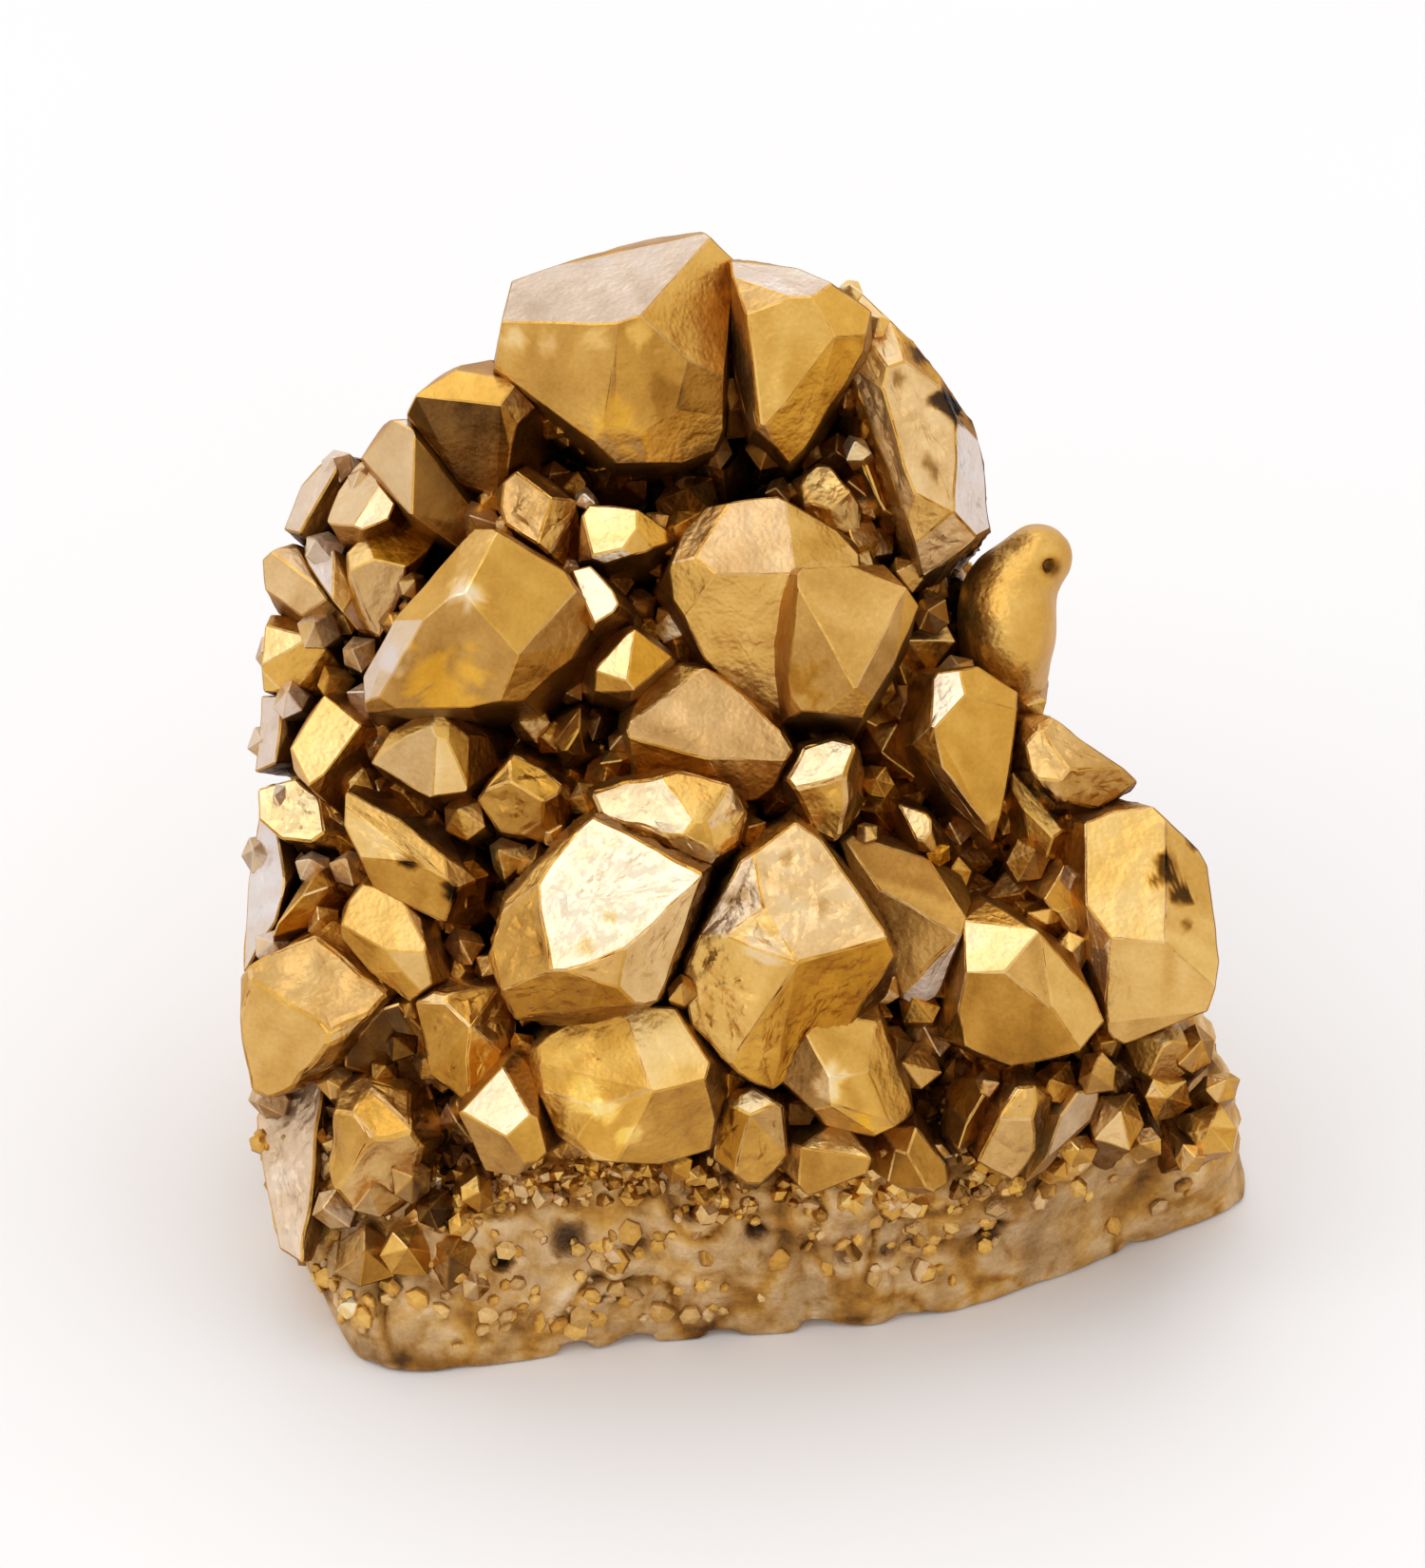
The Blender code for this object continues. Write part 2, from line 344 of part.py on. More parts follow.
def crystal_planes(spec, grow=0.0):
    """Every plane of one crystal, each moved out by `grow` mm."""
    rim = [Vector(corner) for corner in spec["rim"]]
    turn = sum(p.cross(q) for p, q in zip(rim, rim[1:] + rim[:1]))
    if turn < 0:
        rim.reverse()
    middle = sum(rim, Vector((0, 0))) / len(rim)
    level = spec.get("level", min(point[2] for _, _, point in spec["facets"]) - LEVEL_DROP)
    away = middle - Vector(CENTRE)
    fan = (math.degrees(math.atan2(away.y, away.x)), min(AXIS_LEAN_MAX, AXIS_FAN * away.length))
    axis = compass_normal(*spec.get("lean", fan))
    planes = []
    for p, q in zip(rim, rim[1:] + rim[:1]):
        along = Vector((q.x - p.x, q.y - p.y, 0))
        planes.append((Vector((p.x, p.y, level)), along.cross(axis).normalized()))
    for facing, slope, point in spec["facets"]:
        planes.append((Vector(point), compass_normal(facing, slope)))
    planes.append((Vector((middle.x, middle.y, level)) - axis * ROOT_DEPTH, -axis))
    return [(face_to_room(point + normal * grow), face_direction(normal)) for point, normal in planes]


def crystal_block(spec, grow=0.0):
    a = sum(corner[0] for corner in spec["rim"]) / len(spec["rim"])
    b = sum(corner[1] for corner in spec["rim"]) / len(spec["rim"])
    return cut_block(face_to_room((a, b, 0)), crystal_planes(spec, grow))


def rock_lump(lump):
    planes = [(face_to_room(point), face_direction(normal)) for normal, point in lump["face"]]
    planes += [(Vector(point) * MM, Vector(normal).normalized()) for normal, point in lump["table"]]
    planes.append((Vector((0, 0, -8)) * MM, Vector((0, 0, -1))))
    return cut_block(face_to_room((0, 50, -10)), planes)


def bounds(obj):
    corners = [obj.matrix_world @ vertex.co for vertex in obj.data.vertices]
    low = Vector([min(corner[axis] for corner in corners) for axis in range(3)])
    high = Vector([max(corner[axis] for corner in corners) for axis in range(3)])
    return low, high


def touching(one, other):
    (low1, high1), (low2, high2) = one, other
    return all(low1[axis] < high2[axis] and low2[axis] < high1[axis] for axis in range(3))


def apply_modifiers(obj):
    """Replaces an object's mesh with what its modifiers make of it."""
    mesh = bpy.data.meshes.new_from_object(obj.evaluated_get(bpy.context.evaluated_depsgraph_get()))
    obj.modifiers.clear()
    obj.data = mesh


def cut_with(obj, cutter):
    boolean = obj.modifiers.new("cut", "BOOLEAN")
    boolean.operation = "DIFFERENCE"
    boolean.solver = "EXACT"
    boolean.object = cutter


def as_cutter(obj):
    obj.hide_render = True
    obj.display_type = "WIRE"
    return obj


def keep_largest_piece(obj):
    """Drops the crumbs that a cut leaves, so the node is one closed body."""
    bm = bmesh.new()
    bm.from_mesh(obj.data)
    bmesh.ops.remove_doubles(bm, verts=bm.verts, dist=2e-6)
    bmesh.ops.dissolve_degenerate(bm, edges=bm.edges, dist=2e-6)
    waiting = set(bm.verts)
    pieces = []
    while waiting:
        piece = {waiting.pop()}
        front = list(piece)
        while front:
            vertex = front.pop()
            near = {edge.other_vert(vertex) for edge in vertex.link_edges} - piece
            piece |= near
            front += near
        waiting -= piece
        pieces.append(piece)
    pieces.sort(key=lambda piece: sum(face.calc_area() for face in {f for v in piece for f in v.link_faces}))
    for piece in pieces[:-1]:
        bmesh.ops.delete(bm, geom=list(piece), context="VERTS")
    bmesh.ops.recalc_face_normals(bm, faces=bm.faces)
    bm.to_mesh(obj.data)
    bm.free()


for obj in list(bpy.data.objects):
    bpy.data.objects.remove(obj)

cluster = collection("gold_coated_quartz_cluster")
cutters = collection("cutters")

rock_coat = material("rock_grain", (0.42, 0.28, 0.13), 0.6, 0.55)
gold_coat = material("gold_coat", (0.68, 0.43, 0.13), 0.22, 1.0)
amber_coat = material("amber_coat", (0.52, 0.26, 0.05), 0.2, 1.0)
pale_coat = material("pale_coat", (0.6, 0.5, 0.4), 0.3, 0.9)
dark_coat = material("dark_coat", (0.2, 0.11, 0.04), 0.28, 0.9)

# Host rock: the two lumps fused on an even grid, roughened, then cut flat where it rests.
rock_bm = rock_lump(ROCK_LUMPS["wall"])
toe = solid("toe_lump", rock_lump(ROCK_LUMPS["toe"]), cutters)
rock_bm.from_mesh(toe.data)
bpy.data.objects.remove(toe)
rock = solid("host_rock", rock_bm, cluster)
fuse = rock.modifiers.new("fuse", "REMESH")
fuse.mode = "VOXEL"
fuse.voxel_size = ROCK_GRAIN * MM
apply_modifiers(rock)
rock_bm = bmesh.new()
rock_bm.from_mesh(rock.data)
for vertex in rock_bm.verts:
    swell = noise.noise(vertex.co / (ROCK_SWELL * MM))
    rough = noise.noise(vertex.co / (7 * MM) + Vector((5, 1, 3)))
    vertex.co += vertex.normal * (0.9 * swell + 0.6 * rough - 0.3) * ROCK_ROUGHNESS * MM
bmesh.ops.triangulate(rock_bm, faces=rock_bm.faces)
cut_flat(rock_bm, Vector((0, 0, 0)), Vector((0, 0, -1)))
rock_bm.to_mesh(rock.data)
rock_bm.free()
keep_largest_piece(rock)
rock.data.materials.append(rock_coat)

# What the crystals must stay clear of: the rock grown by the gap.
clear_rock = rock.copy()
clear_rock.data = rock.data.copy()
clear_rock.name = "rock_clearance"
cutters.objects.link(as_cutter(clear_rock))
for vertex in clear_rock.data.vertices:
    vertex.co += vertex.normal * 1.3 * GAP * MM

# Rounded growth: a few balls fused on a fine grid, with one small pit.
lobe_bm = bmesh.new()
for middle, radii in LOBE_BALLS:
    turn = Matrix.Rotation(math.pi / 2 - GROWTH_LEAN, 4, "X")
    place = Matrix.Translation(face_to_room(middle)) @ turn @ Matrix.Diagonal((*(Vector(radii) * MM), 1))
    bmesh.ops.create_icosphere(lobe_bm, subdivisions=3, radius=1, matrix=place)
lobe = solid("rounded_growth", lobe_bm, cluster)
fuse = lobe.modifiers.new("fuse", "REMESH")
fuse.mode = "VOXEL"
fuse.voxel_size = LOBE_CELL * MM
ease = lobe.modifiers.new("ease", "SMOOTH")
ease.factor = 0.6
ease.iterations = 6
pit_bm = bmesh.new()
bmesh.ops.create_icosphere(pit_bm, subdivisions=2, radius=LOBE_PIT[1] * MM,
                           matrix=Matrix.Translation(face_to_room(LOBE_PIT[0])))
pit = as_cutter(solid("pit", pit_bm, cutters))
cut_with(lobe, pit)
cut_with(lobe, clear_rock)
lobe.data.materials.append(gold_coat)

# Crystals: the taller ones are whole, and each lower one gives way to those above it.
order = sorted(CRYSTALS, key=lambda name: -max(point[2] for _, _, point in CRYSTALS[name]["facets"]))
blocks = {}
clearances = {}
for name in order:
    blocks[name] = solid(name, crystal_block(CRYSTALS[name]), cluster)
    clearances[name] = as_cutter(solid(name + "_clearance", crystal_block(CRYSTALS[name], GAP), cutters))
spans = {name: bounds(clearances[name]) for name in order}
for place, name in enumerate(order):
    crystal = blocks[name]
    for taller in order[:place]:
        if touching(spans[name], spans[taller]):
            cut_with(crystal, clearances[taller])
    cut_with(crystal, clear_rock)
    coat = amber_coat if name in AMBER_COAT else pale_coat if name in PALE_COAT else gold_coat
    crystal.data.materials.append(dark_coat if name in DARK_COAT else coat)

# The rounded growth gives way to its neighbours too.
apply_modifiers(lobe)
lobe_span = bounds(lobe)
for name in order:
    if touching(lobe_span, spans[name]):
        cut_with(lobe, clearances[name])

for obj in [lobe, *blocks.values()]:
    apply_modifiers(obj)
    keep_largest_piece(obj)

# The middle of the resting face becomes the origin.
spans = [bounds(obj) for obj in cluster.objects]
low = Vector([min(span[0][axis] for span in spans) for axis in range(3)])
high = Vector([max(span[1][axis] for span in spans) for axis in range(3)])
shift = Vector((-(low.x + high.x) / 2, -(low.y + high.y) / 2, -low.z))
for obj in cluster.objects:
    obj.data.transform(Matrix.Translation(shift))
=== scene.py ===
import json
import math

import bmesh
import bpy
import numpy as np
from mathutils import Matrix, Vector
from mathutils.bvhtree import BVHTree


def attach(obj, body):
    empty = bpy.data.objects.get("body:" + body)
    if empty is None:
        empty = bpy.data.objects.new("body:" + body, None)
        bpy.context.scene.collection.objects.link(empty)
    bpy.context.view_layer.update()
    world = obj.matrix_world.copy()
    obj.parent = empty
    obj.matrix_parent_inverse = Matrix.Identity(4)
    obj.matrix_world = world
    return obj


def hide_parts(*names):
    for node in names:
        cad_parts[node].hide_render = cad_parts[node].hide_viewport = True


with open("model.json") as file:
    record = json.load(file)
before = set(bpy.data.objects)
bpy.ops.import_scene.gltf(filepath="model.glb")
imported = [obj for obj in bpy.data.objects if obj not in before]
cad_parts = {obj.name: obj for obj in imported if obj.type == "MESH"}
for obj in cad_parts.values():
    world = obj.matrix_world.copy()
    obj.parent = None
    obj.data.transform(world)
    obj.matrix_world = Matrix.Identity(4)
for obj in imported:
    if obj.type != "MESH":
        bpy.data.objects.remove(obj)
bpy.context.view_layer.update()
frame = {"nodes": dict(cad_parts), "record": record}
print("frame loaded:", len(frame["nodes"]), "solids")

mm = 0.001

# The growth face leans back from the table. On it a runs across, b runs up it and c stands out of it, in mm.
growthFace = dict(lean=35.0, origin=(-0.629, -30.503, 0.0))
leanSin, leanCos = math.sin(math.radians(growthFace["lean"])), math.cos(math.radians(growthFace["lean"]))
faceAxes = np.array(((1, 0, 0), (0, leanSin, leanCos), (0, -leanCos, leanSin)))
faceOrigin = np.array(growthFace["origin"])


def toRoom(points):
    # face mm to room metres
    return (np.asarray(points, float) @ faceAxes + faceOrigin) * mm


def toFace(points):
    # room metres to face mm
    return (np.asarray(points, float) / mm - faceOrigin) @ faceAxes.T


def compass(turn, slope):
    # unit direction that leans from c by slope towards turn: 0 along a, 90 up the face
    t, s = np.radians(turn), np.radians(slope)
    return np.stack((np.sin(s) * np.cos(t), np.sin(s) * np.sin(t), np.cos(s)), -1)


def smooth(values, low, high):
    # 0 below low, 1 above high, with the cubic 3x^2 - 2x^3 between them
    x = np.clip((values - low) / (high - low), 0, 1)
    return x * x * (3 - 2 * x)


# noise on whole arrays, with lengths in mm

def scatter(cells, seed):
    # one fixed number from 0 to 1 for each whole-number cell
    mixed = cells[..., 0] * 73856093 ^ cells[..., 1] * 19349663 ^ cells[..., 2] * 83492791 ^ seed * 40503
    mixed = mixed & 0xFFFFFFFF
    mixed = ((mixed ^ (mixed >> 15)) * 224682251) & 0xFFFFFFFF
    mixed = ((mixed ^ (mixed >> 13)) * 326648991) & 0xFFFFFFFF
    return ((mixed ^ (mixed >> 16)) & 0xFFFFFF) / float(0xFFFFFF)


def waves(points, size, seed):
    # smooth noise from -1 to 1: the numbers at a cell's eight corners, blended by the cubic along each side
    place = points / size
    cell = np.floor(place).astype(np.int64)
    part = place - cell
    part = part * part * (3 - 2 * part)
    total = np.zeros(len(points))
    for i, j, k in np.ndindex(2, 2, 2):
        weight = np.abs(1 - i - part[:, 0]) * np.abs(1 - j - part[:, 1]) * np.abs(1 - k - part[:, 2])
        total += weight * scatter(cell + np.array((i, j, k)), seed)
    return total * 2 - 1


def grains(points, size, seed):
    # the highest of the little eight-sided pyramids, one set at random in each cell: flat facets, sharp ridges
    place = points / size
    cell = np.floor(place).astype(np.int64)
    best = np.full(len(points), -9.0)
    for shift in np.ndindex(3, 3, 3):
        near = cell + np.array(shift) - 1
        spot = near + np.stack([scatter(near, seed + n) for n in (1, 2, 3)], 1)
        turn = scatter(near, seed + 4) * 6.283   # a whole turn
        lean = scatter(near, seed + 5) * 3.142   # half a turn
        away = place - spot
        x = away[:, 0] * np.cos(turn) + away[:, 1] * np.sin(turn)
        y = away[:, 1] * np.cos(turn) - away[:, 0] * np.sin(turn)
        y, z = y * np.cos(lean) + away[:, 2] * np.sin(lean), away[:, 2] * np.cos(lean) - y * np.sin(lean)
        best = np.maximum(best, scatter(near, seed + 6) * 0.5 - (np.abs(x) + np.abs(y) + np.abs(z)))
    return best + 0.6


def fieldOf(points, size, seed):
    # three noises, one for each way a point can drift
    return np.stack([waves(points, size, seed + n) for n in (0, 11, 23)], 1)


# colour and shader helpers

def linear(hexColour):
    # sRGB hex to linear light
    srgb = np.array([int(hexColour[i:i + 2], 16) / 255 for i in (1, 3, 5)])
    return (*np.where(srgb <= 0.04045, srgb / 12.92, ((srgb + 0.055) / 1.055) ** 2.4), 1.0)


def node(tree, kind, settings=None, links=None, stops=()):
    # adds one node: settings are its own properties and socket values, links the sockets that feed it, and stops
    # the places and colours of its band
    made = tree.nodes.new("ShaderNode" + kind)
    for name, value in (settings or {}).items():
        if isinstance(name, str) and hasattr(made, name):
            setattr(made, name, value)
        else:
            made.inputs[name].default_value = value
    for name, source in (links or {}).items():
        tree.links.new(source, made.inputs[name])
    while stops and len(made.color_ramp.elements) < len(stops):
        made.color_ramp.elements.new(0.5)
    for number, (place, colour) in enumerate(stops):
        element = made.color_ramp.elements[number]
        element.position, element.color = place, linear(colour)
    return made


def perMm(size):
    # noise scale for features of this many mm, with Object coordinates in metres
    return 1 / (size * mm)


# Gold coat on quartz: metal deposited in vacuum. Its tone carries painted light and shade: light where a face turns
# to the key light, brown where it turns away or lies deep between crystals; silvery where it is thinnest over
# frosted quartz.
coatRamps = dict(
    gold=((0.0, "#140E0A"), (0.2, "#5E3C16"), (0.4, "#AB772E"), (0.55, "#D2A04A"), (0.7, "#EABF6C"),
          (0.85, "#F3D79A"), (1.0, "#F9E8C4")),
    amber=((0.0, "#120C06"), (0.2, "#54330C"), (0.4, "#A66A16"), (0.55, "#CC8E1C"), (0.7, "#E8AE30"),
           (0.85, "#F6CC5C"), (1.0, "#FBE394")),
    pale=((0.0, "#15120F"), (0.2, "#5A4A3A"), (0.4, "#98805F"), (0.55, "#BFA68A"), (0.7, "#DFCAB6"),
          (0.85, "#E4D9D2"), (1.0, "#F4EEE4")))


def coatMaterial(name, settings):
    # the coat attribute and two noises pick a tone from the ramps, bloom mixes them, two bumps rough it up
    made = bpy.data.materials.new(name)
    made.use_nodes = True
    tree = made.node_tree
    tree.nodes.clear()
    place = node(tree, "TexCoord").outputs["Object"]
    coat = node(tree, "Attribute", {"attribute_name": "coat"}).outputs["Fac"]
    bloom = node(tree, "Attribute", {"attribute_name": "bloom"}).outputs["Fac"]
    cloud, grit, ripple = (
        node(tree, "TexNoise", {"Scale": perMm(settings[size]), "Detail": detail, "Roughness": fray},
             {"Vector": place}).outputs["Fac"]
        for size, detail, fray in (("cloudSize", 4.0, 0.6), ("gritSize", 3.0, 0.65), ("rippleSize", 2.0, 0.5)))
    tone = coat
    for noise, share in ((cloud, settings["cloud"]), (grit, settings["speckle"])):   # noise swings tone both ways
        shift = node(tree, "Math", {"operation": "MULTIPLY_ADD", 1: share, 2: -0.5 * share}, {0: noise}).outputs[0]
        tone = node(tree, "Math", {"operation": "ADD", "use_clamp": noise is grit}, {0: tone, 1: shift}).outputs[0]
    gold, amber, pale = (node(tree, "ValToRGB", links={"Fac": tone}, stops=coatRamps[tint]).outputs["Color"]
                         for tint in ("gold", "amber", "pale"))
    colour = gold
    for way, tint in ((-1.0, amber), (1.0, pale)):   # bloom below 0 leads to amber, above 0 to pale
        share = node(tree, "Math", {"operation": "MULTIPLY", 1: way, "use_clamp": True}, {0: bloom}).outputs[0]
        colour = node(tree, "Mix", {"data_type": "RGBA"},
                      {0: share, 6: colour, 7: tint}).outputs[2]
    roughness = node(tree, "MapRange", {
        "From Min": 0.3, "From Max": 0.7, "To Min": settings["roughness"] - 0.06,
        "To Max": settings["roughness"] + 0.08}, {"Value": grit}).outputs[0]
    bump = node(tree, "Bump", {"Strength": settings["ripple"], "Distance": settings["rippleHeight"] * mm},
                {"Height": ripple}).outputs[0]
    bump = node(tree, "Bump", {"Strength": settings["bump"], "Distance": settings["bumpHeight"] * mm},
                {"Height": grit, "Normal": bump}).outputs[0]
    shader = node(tree, "BsdfPrincipled", {"Metallic": settings["metallic"]},
                  {"Base Color": colour, "Roughness": roughness, "Normal": bump}).outputs[0]
    node(tree, "OutputMaterial", links={"Surface": shader})
    return made


# Sizes are in mm. Real frosting is finer than 0.1 mm, and the grit is drawn at 0.4 to 0.5 mm so that it shows.
usualCoat = dict(metallic=1.0, cloudSize=4.0, cloud=0.22, gritSize=0.4, rippleSize=1.6, ripple=0.8,
                 rippleHeight=0.26, bump=0.6, bumpHeight=0.09)
materials = {name: coatMaterial(label, dict(usualCoat, **settings)) for name, label, settings in (
    # vacuum gold on a smooth growth face: satin, with faint ripples of growth and a fine frosting
    ("gold_coat", "vapourGoldOnQuartz", dict(roughness=0.4, speckle=0.16)),
    # the same where the coat is a little denser: slightly glossier, with longer ripples
    ("amber_coat", "vapourGoldAmber", dict(roughness=0.38, speckle=0.14, rippleSize=1.8)),
    # thin coat over frosted quartz: duller and silvery
    ("pale_coat", "thinGoldOnFrostedQuartz", dict(
        metallic=0.85, roughness=0.46, cloudSize=3.4, speckle=0.18, rippleSize=1.5, bumpHeight=0.1)),
    # coat for the points set down in the crevices and among the crown: smoother and glossier; their low tones are
    # painted shade
    ("dark_coat", "shadedGoldOnQuartz", dict(
        metallic=0.9, roughness=0.36, cloud=0.2, speckle=0.1, ripple=0.5, rippleHeight=0.14, bump=0.5,
        bumpHeight=0.06)),
    # granular quartz rock under the same coat: sugary and satin
    ("rock_grain", "goldDustedGranularQuartz", dict(
        metallic=0.7, roughness=0.5, cloudSize=3.0, cloud=0.12, gritSize=0.5, speckle=0.24, rippleSize=1.4,
        rippleHeight=0.3, bump=0.8, bumpHeight=0.16)))}

slotOf = {part["node"]: part["material_slot"] for part in frame["record"]["subparts"]}
print("coats made")


# mesh helpers

def meshPiece(name, corners, faces, attributes, creaseAngle=14.0, weld=2e-6):
    # corners in metres; attributes are one number for each corner of the array, kept by each face's own corners
    mesh = bpy.data.meshes.new(name)
    mesh.from_pydata(corners, [], faces)
    used = np.zeros(len(mesh.loops), np.int32)
    mesh.loops.foreach_get("vertex_index", used)
    for attribute, values in attributes.items():
        layer = mesh.attributes.new(attribute, "FLOAT", "CORNER")
        layer.data.foreach_set("value", np.asarray(values)[used].astype(np.float32))
    if weld:
        shell = bmesh.new()
        shell.from_mesh(mesh)
        bmesh.ops.remove_doubles(shell, verts=shell.verts, dist=weld)
        bmesh.ops.recalc_face_normals(shell, faces=shell.faces)
        shell.to_mesh(mesh)
        shell.free()
    mesh.shade_smooth()
    mesh.set_sharp_from_angle(angle=math.radians(creaseAngle))
    made = bpy.data.objects.new(name, mesh)
    bpy.context.scene.collection.objects.link(made)
    return made


def finishPiece(piece, slot, nodes=()):
    # gives a piece its coat, its body, its slot and the CAD solids it stands for
    piece.data.materials.append(materials[slot])
    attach(piece, "root")
    if nodes:
        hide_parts(*nodes)
    return piece


def cadCorners(name):
    # the solid's corners, in mm
    mesh = frame["nodes"][name].data
    co = np.zeros(len(mesh.vertices) * 3)
    mesh.vertices.foreach_get("co", co)
    return np.unique(np.round(co.reshape(-1, 3) / mm, 4), axis=0)


def cutFlat(shell, point, normal):
    # takes off all beyond the plane through this point, and closes the cut
    cut = bmesh.ops.bisect_plane(shell, geom=shell.verts[:] + shell.edges[:] + shell.faces[:], dist=1e-5,
                                 plane_co=point, plane_no=normal, clear_outer=True)
    rim = [item for item in cut["geom_cut"] if isinstance(item, bmesh.types.BMEdge)]
    if rim:
        bmesh.ops.edgeloop_fill(shell, edges=rim)


# an edge is chamfered if it is this long in mm and bends this much; nothing near the middle is cut
shellPlan = dict(longEdge=0.5, sharp=math.radians(9), mostBend=1.9, nearMiddle=0.3)


def crystalShell(corners, chamfer, nicks=(0, 0.3, 1.0), seed=0):
    # the tight flat-faced shell round these corners, each edge taken off by a narrow flat of this width; in mm.
    # nicks: how many upper corners carry a small face of their own, and how deep those sit
    shell = bmesh.new()
    cloud = bpy.data.meshes.new("corners")
    cloud.from_pydata(corners, [], [])
    shell.from_mesh(cloud)
    bpy.data.meshes.remove(cloud)
    hull = bmesh.ops.convex_hull(shell, input=shell.verts)
    spare = [item for item in hull["geom_interior"] + hull["geom_unused"] if isinstance(item, bmesh.types.BMVert)]
    bmesh.ops.delete(shell, geom=list(set(spare)), context="VERTS")
    bmesh.ops.dissolve_limit(shell, angle_limit=math.radians(2), verts=shell.verts, edges=shell.edges)
    middle = sum((corner.co for corner in shell.verts), Vector()) / len(shell.verts)
    for face in shell.faces:
        if face.normal.dot(face.calc_center_median() - middle) < 0:
            face.normal_flip()
    planes = [(np.array(face.normal), float(face.normal.dot(face.verts[0].co))) for face in shell.faces]
    draw = np.random.default_rng(seed)
    upper = [corner for corner in shell.verts if (corner.co - middle).dot(Vector(faceAxes[2])) > 0]
    small = []
    for corner in upper:
        pull = sum((face.normal * draw.uniform(0.25, 1) for face in corner.link_faces), Vector()).normalized()
        small.append((corner.co - pull * draw.uniform(*nicks[1:]), pull))
    for place in draw.permutation(len(small))[:nicks[0]]:
        cutFlat(shell, *small[place])
    flats = []
    for edge in shell.edges:
        if len(edge.link_faces) == 2 and edge.calc_length() > shellPlan["longEdge"]:
            one, other = (face.normal for face in edge.link_faces)
            bend = one.angle(other, 0)
            if bend > shellPlan["sharp"]:
                across = (one + other).normalized()
                depth = 0.5 * chamfer * math.tan(min(bend, shellPlan["mostBend"]) / 2)
                flats.append(((edge.verts[0].co + edge.verts[1].co) / 2 - across * depth, across))
    for point, normal in flats:
        if normal.dot(point - middle) > shellPlan["nearMiddle"]:
            cutFlat(shell, point, normal)
    bmesh.ops.remove_doubles(shell, verts=shell.verts, dist=0.01)
    bmesh.ops.dissolve_degenerate(shell, edges=shell.edges, dist=0.01)
    facets = [np.array([corner.co for corner in face.verts]) for face in shell.faces if face.calc_area() > 1e-4]
    facets = [corners if facetNormal(corners) @ (corners.mean(0) - np.array(middle)) > 0 else corners[::-1]
              for corners in facets]
    shell.free()
    return facets, planes


def facetNormal(corners):
    # sum of the cross products of neighbouring spokes from the middle, at unit length
    ahead = np.roll(corners, -1, 0)
    normal = np.cross(corners - corners.mean(0), ahead - corners.mean(0)).sum(0)
    return normal / np.linalg.norm(normal)


def facetFan(corners, step):
    # P(s, v) = middle + v (rim(s) - middle): rings of the facet's own outline that shrink to its middle
    ahead = np.roll(corners, -1, 0)
    sides = np.linalg.norm(ahead - corners, axis=1)
    counts = np.maximum(1, np.ceil(sides / step)).astype(int)
    which = np.repeat(np.arange(len(corners)), counts)
    along = (np.arange(len(which)) - np.repeat(np.cumsum(counts) - counts, counts)) / counts[which]
    rim = corners[which] + (ahead - corners)[which] * along[:, None]
    middle = corners.mean(0)
    reach = np.linalg.norm(rim - middle, axis=1).mean()
    rings = max(1, int(round(reach / step)))
    v = np.repeat(np.arange(rings, 0, -1) / rings, len(rim))
    points = np.concatenate((middle + v[:, None] * (np.tile(rim, (rings, 1)) - middle), middle[None]))
    inward = np.cross(facetNormal(corners), ahead - corners)
    inward /= np.linalg.norm(inward, axis=1)[:, None]
    gap = np.abs(((middle - corners) * inward).sum(1))[which]
    inside = np.concatenate(((1 - v) * np.tile(gap, rings), [gap.min()]))   # distance in mm from the facet's border
    count = len(rim)
    start = np.arange(rings - 1)[:, None] * count
    here, there = np.arange(count), (np.arange(count) + 1) % count
    quads = np.stack((start + here, start + there, start + count + there, start + count + here), -1).reshape(-1, 4)
    last = (rings - 1) * count
    tips = np.stack((last + here, last + there, np.full(count, rings * count)), -1)
    return points, inside, quads, tips


# crystals

# How each kind of face is worked: long waves, short grains, how far apart its points are, all in mm
skins = {
    "smooth": dict(wave=0.1, waveSize=3.4, grain=0.0, grainSize=1.0, streak=0.03, streakTone=0.05, streakLength=7.0,
                   streakWidth=1.3, warp=0.07, step=0.75, chamfer=0.2),
    "satin": dict(wave=0.13, waveSize=2.6, grain=0.11, grainSize=1.1, streak=0.05, streakTone=0.07, streakLength=6.0,
                  streakWidth=1.2, warp=0.1, step=0.64, chamfer=0.24),
    "rough": dict(wave=0.15, waveSize=2.2, grain=0.36, grainSize=1.2, streak=0.04, streakTone=0.06, streakLength=4.0,
                  streakWidth=1.2, warp=0.16, step=0.5, chamfer=0.3),
    "lumpy": dict(wave=0.3, waveSize=2.4, grain=0.24, grainSize=1.8, streak=0.05, streakTone=0.05, streakLength=4.0,
                  streakWidth=1.4, warp=0.3, step=0.5, chamfer=0.5),
}
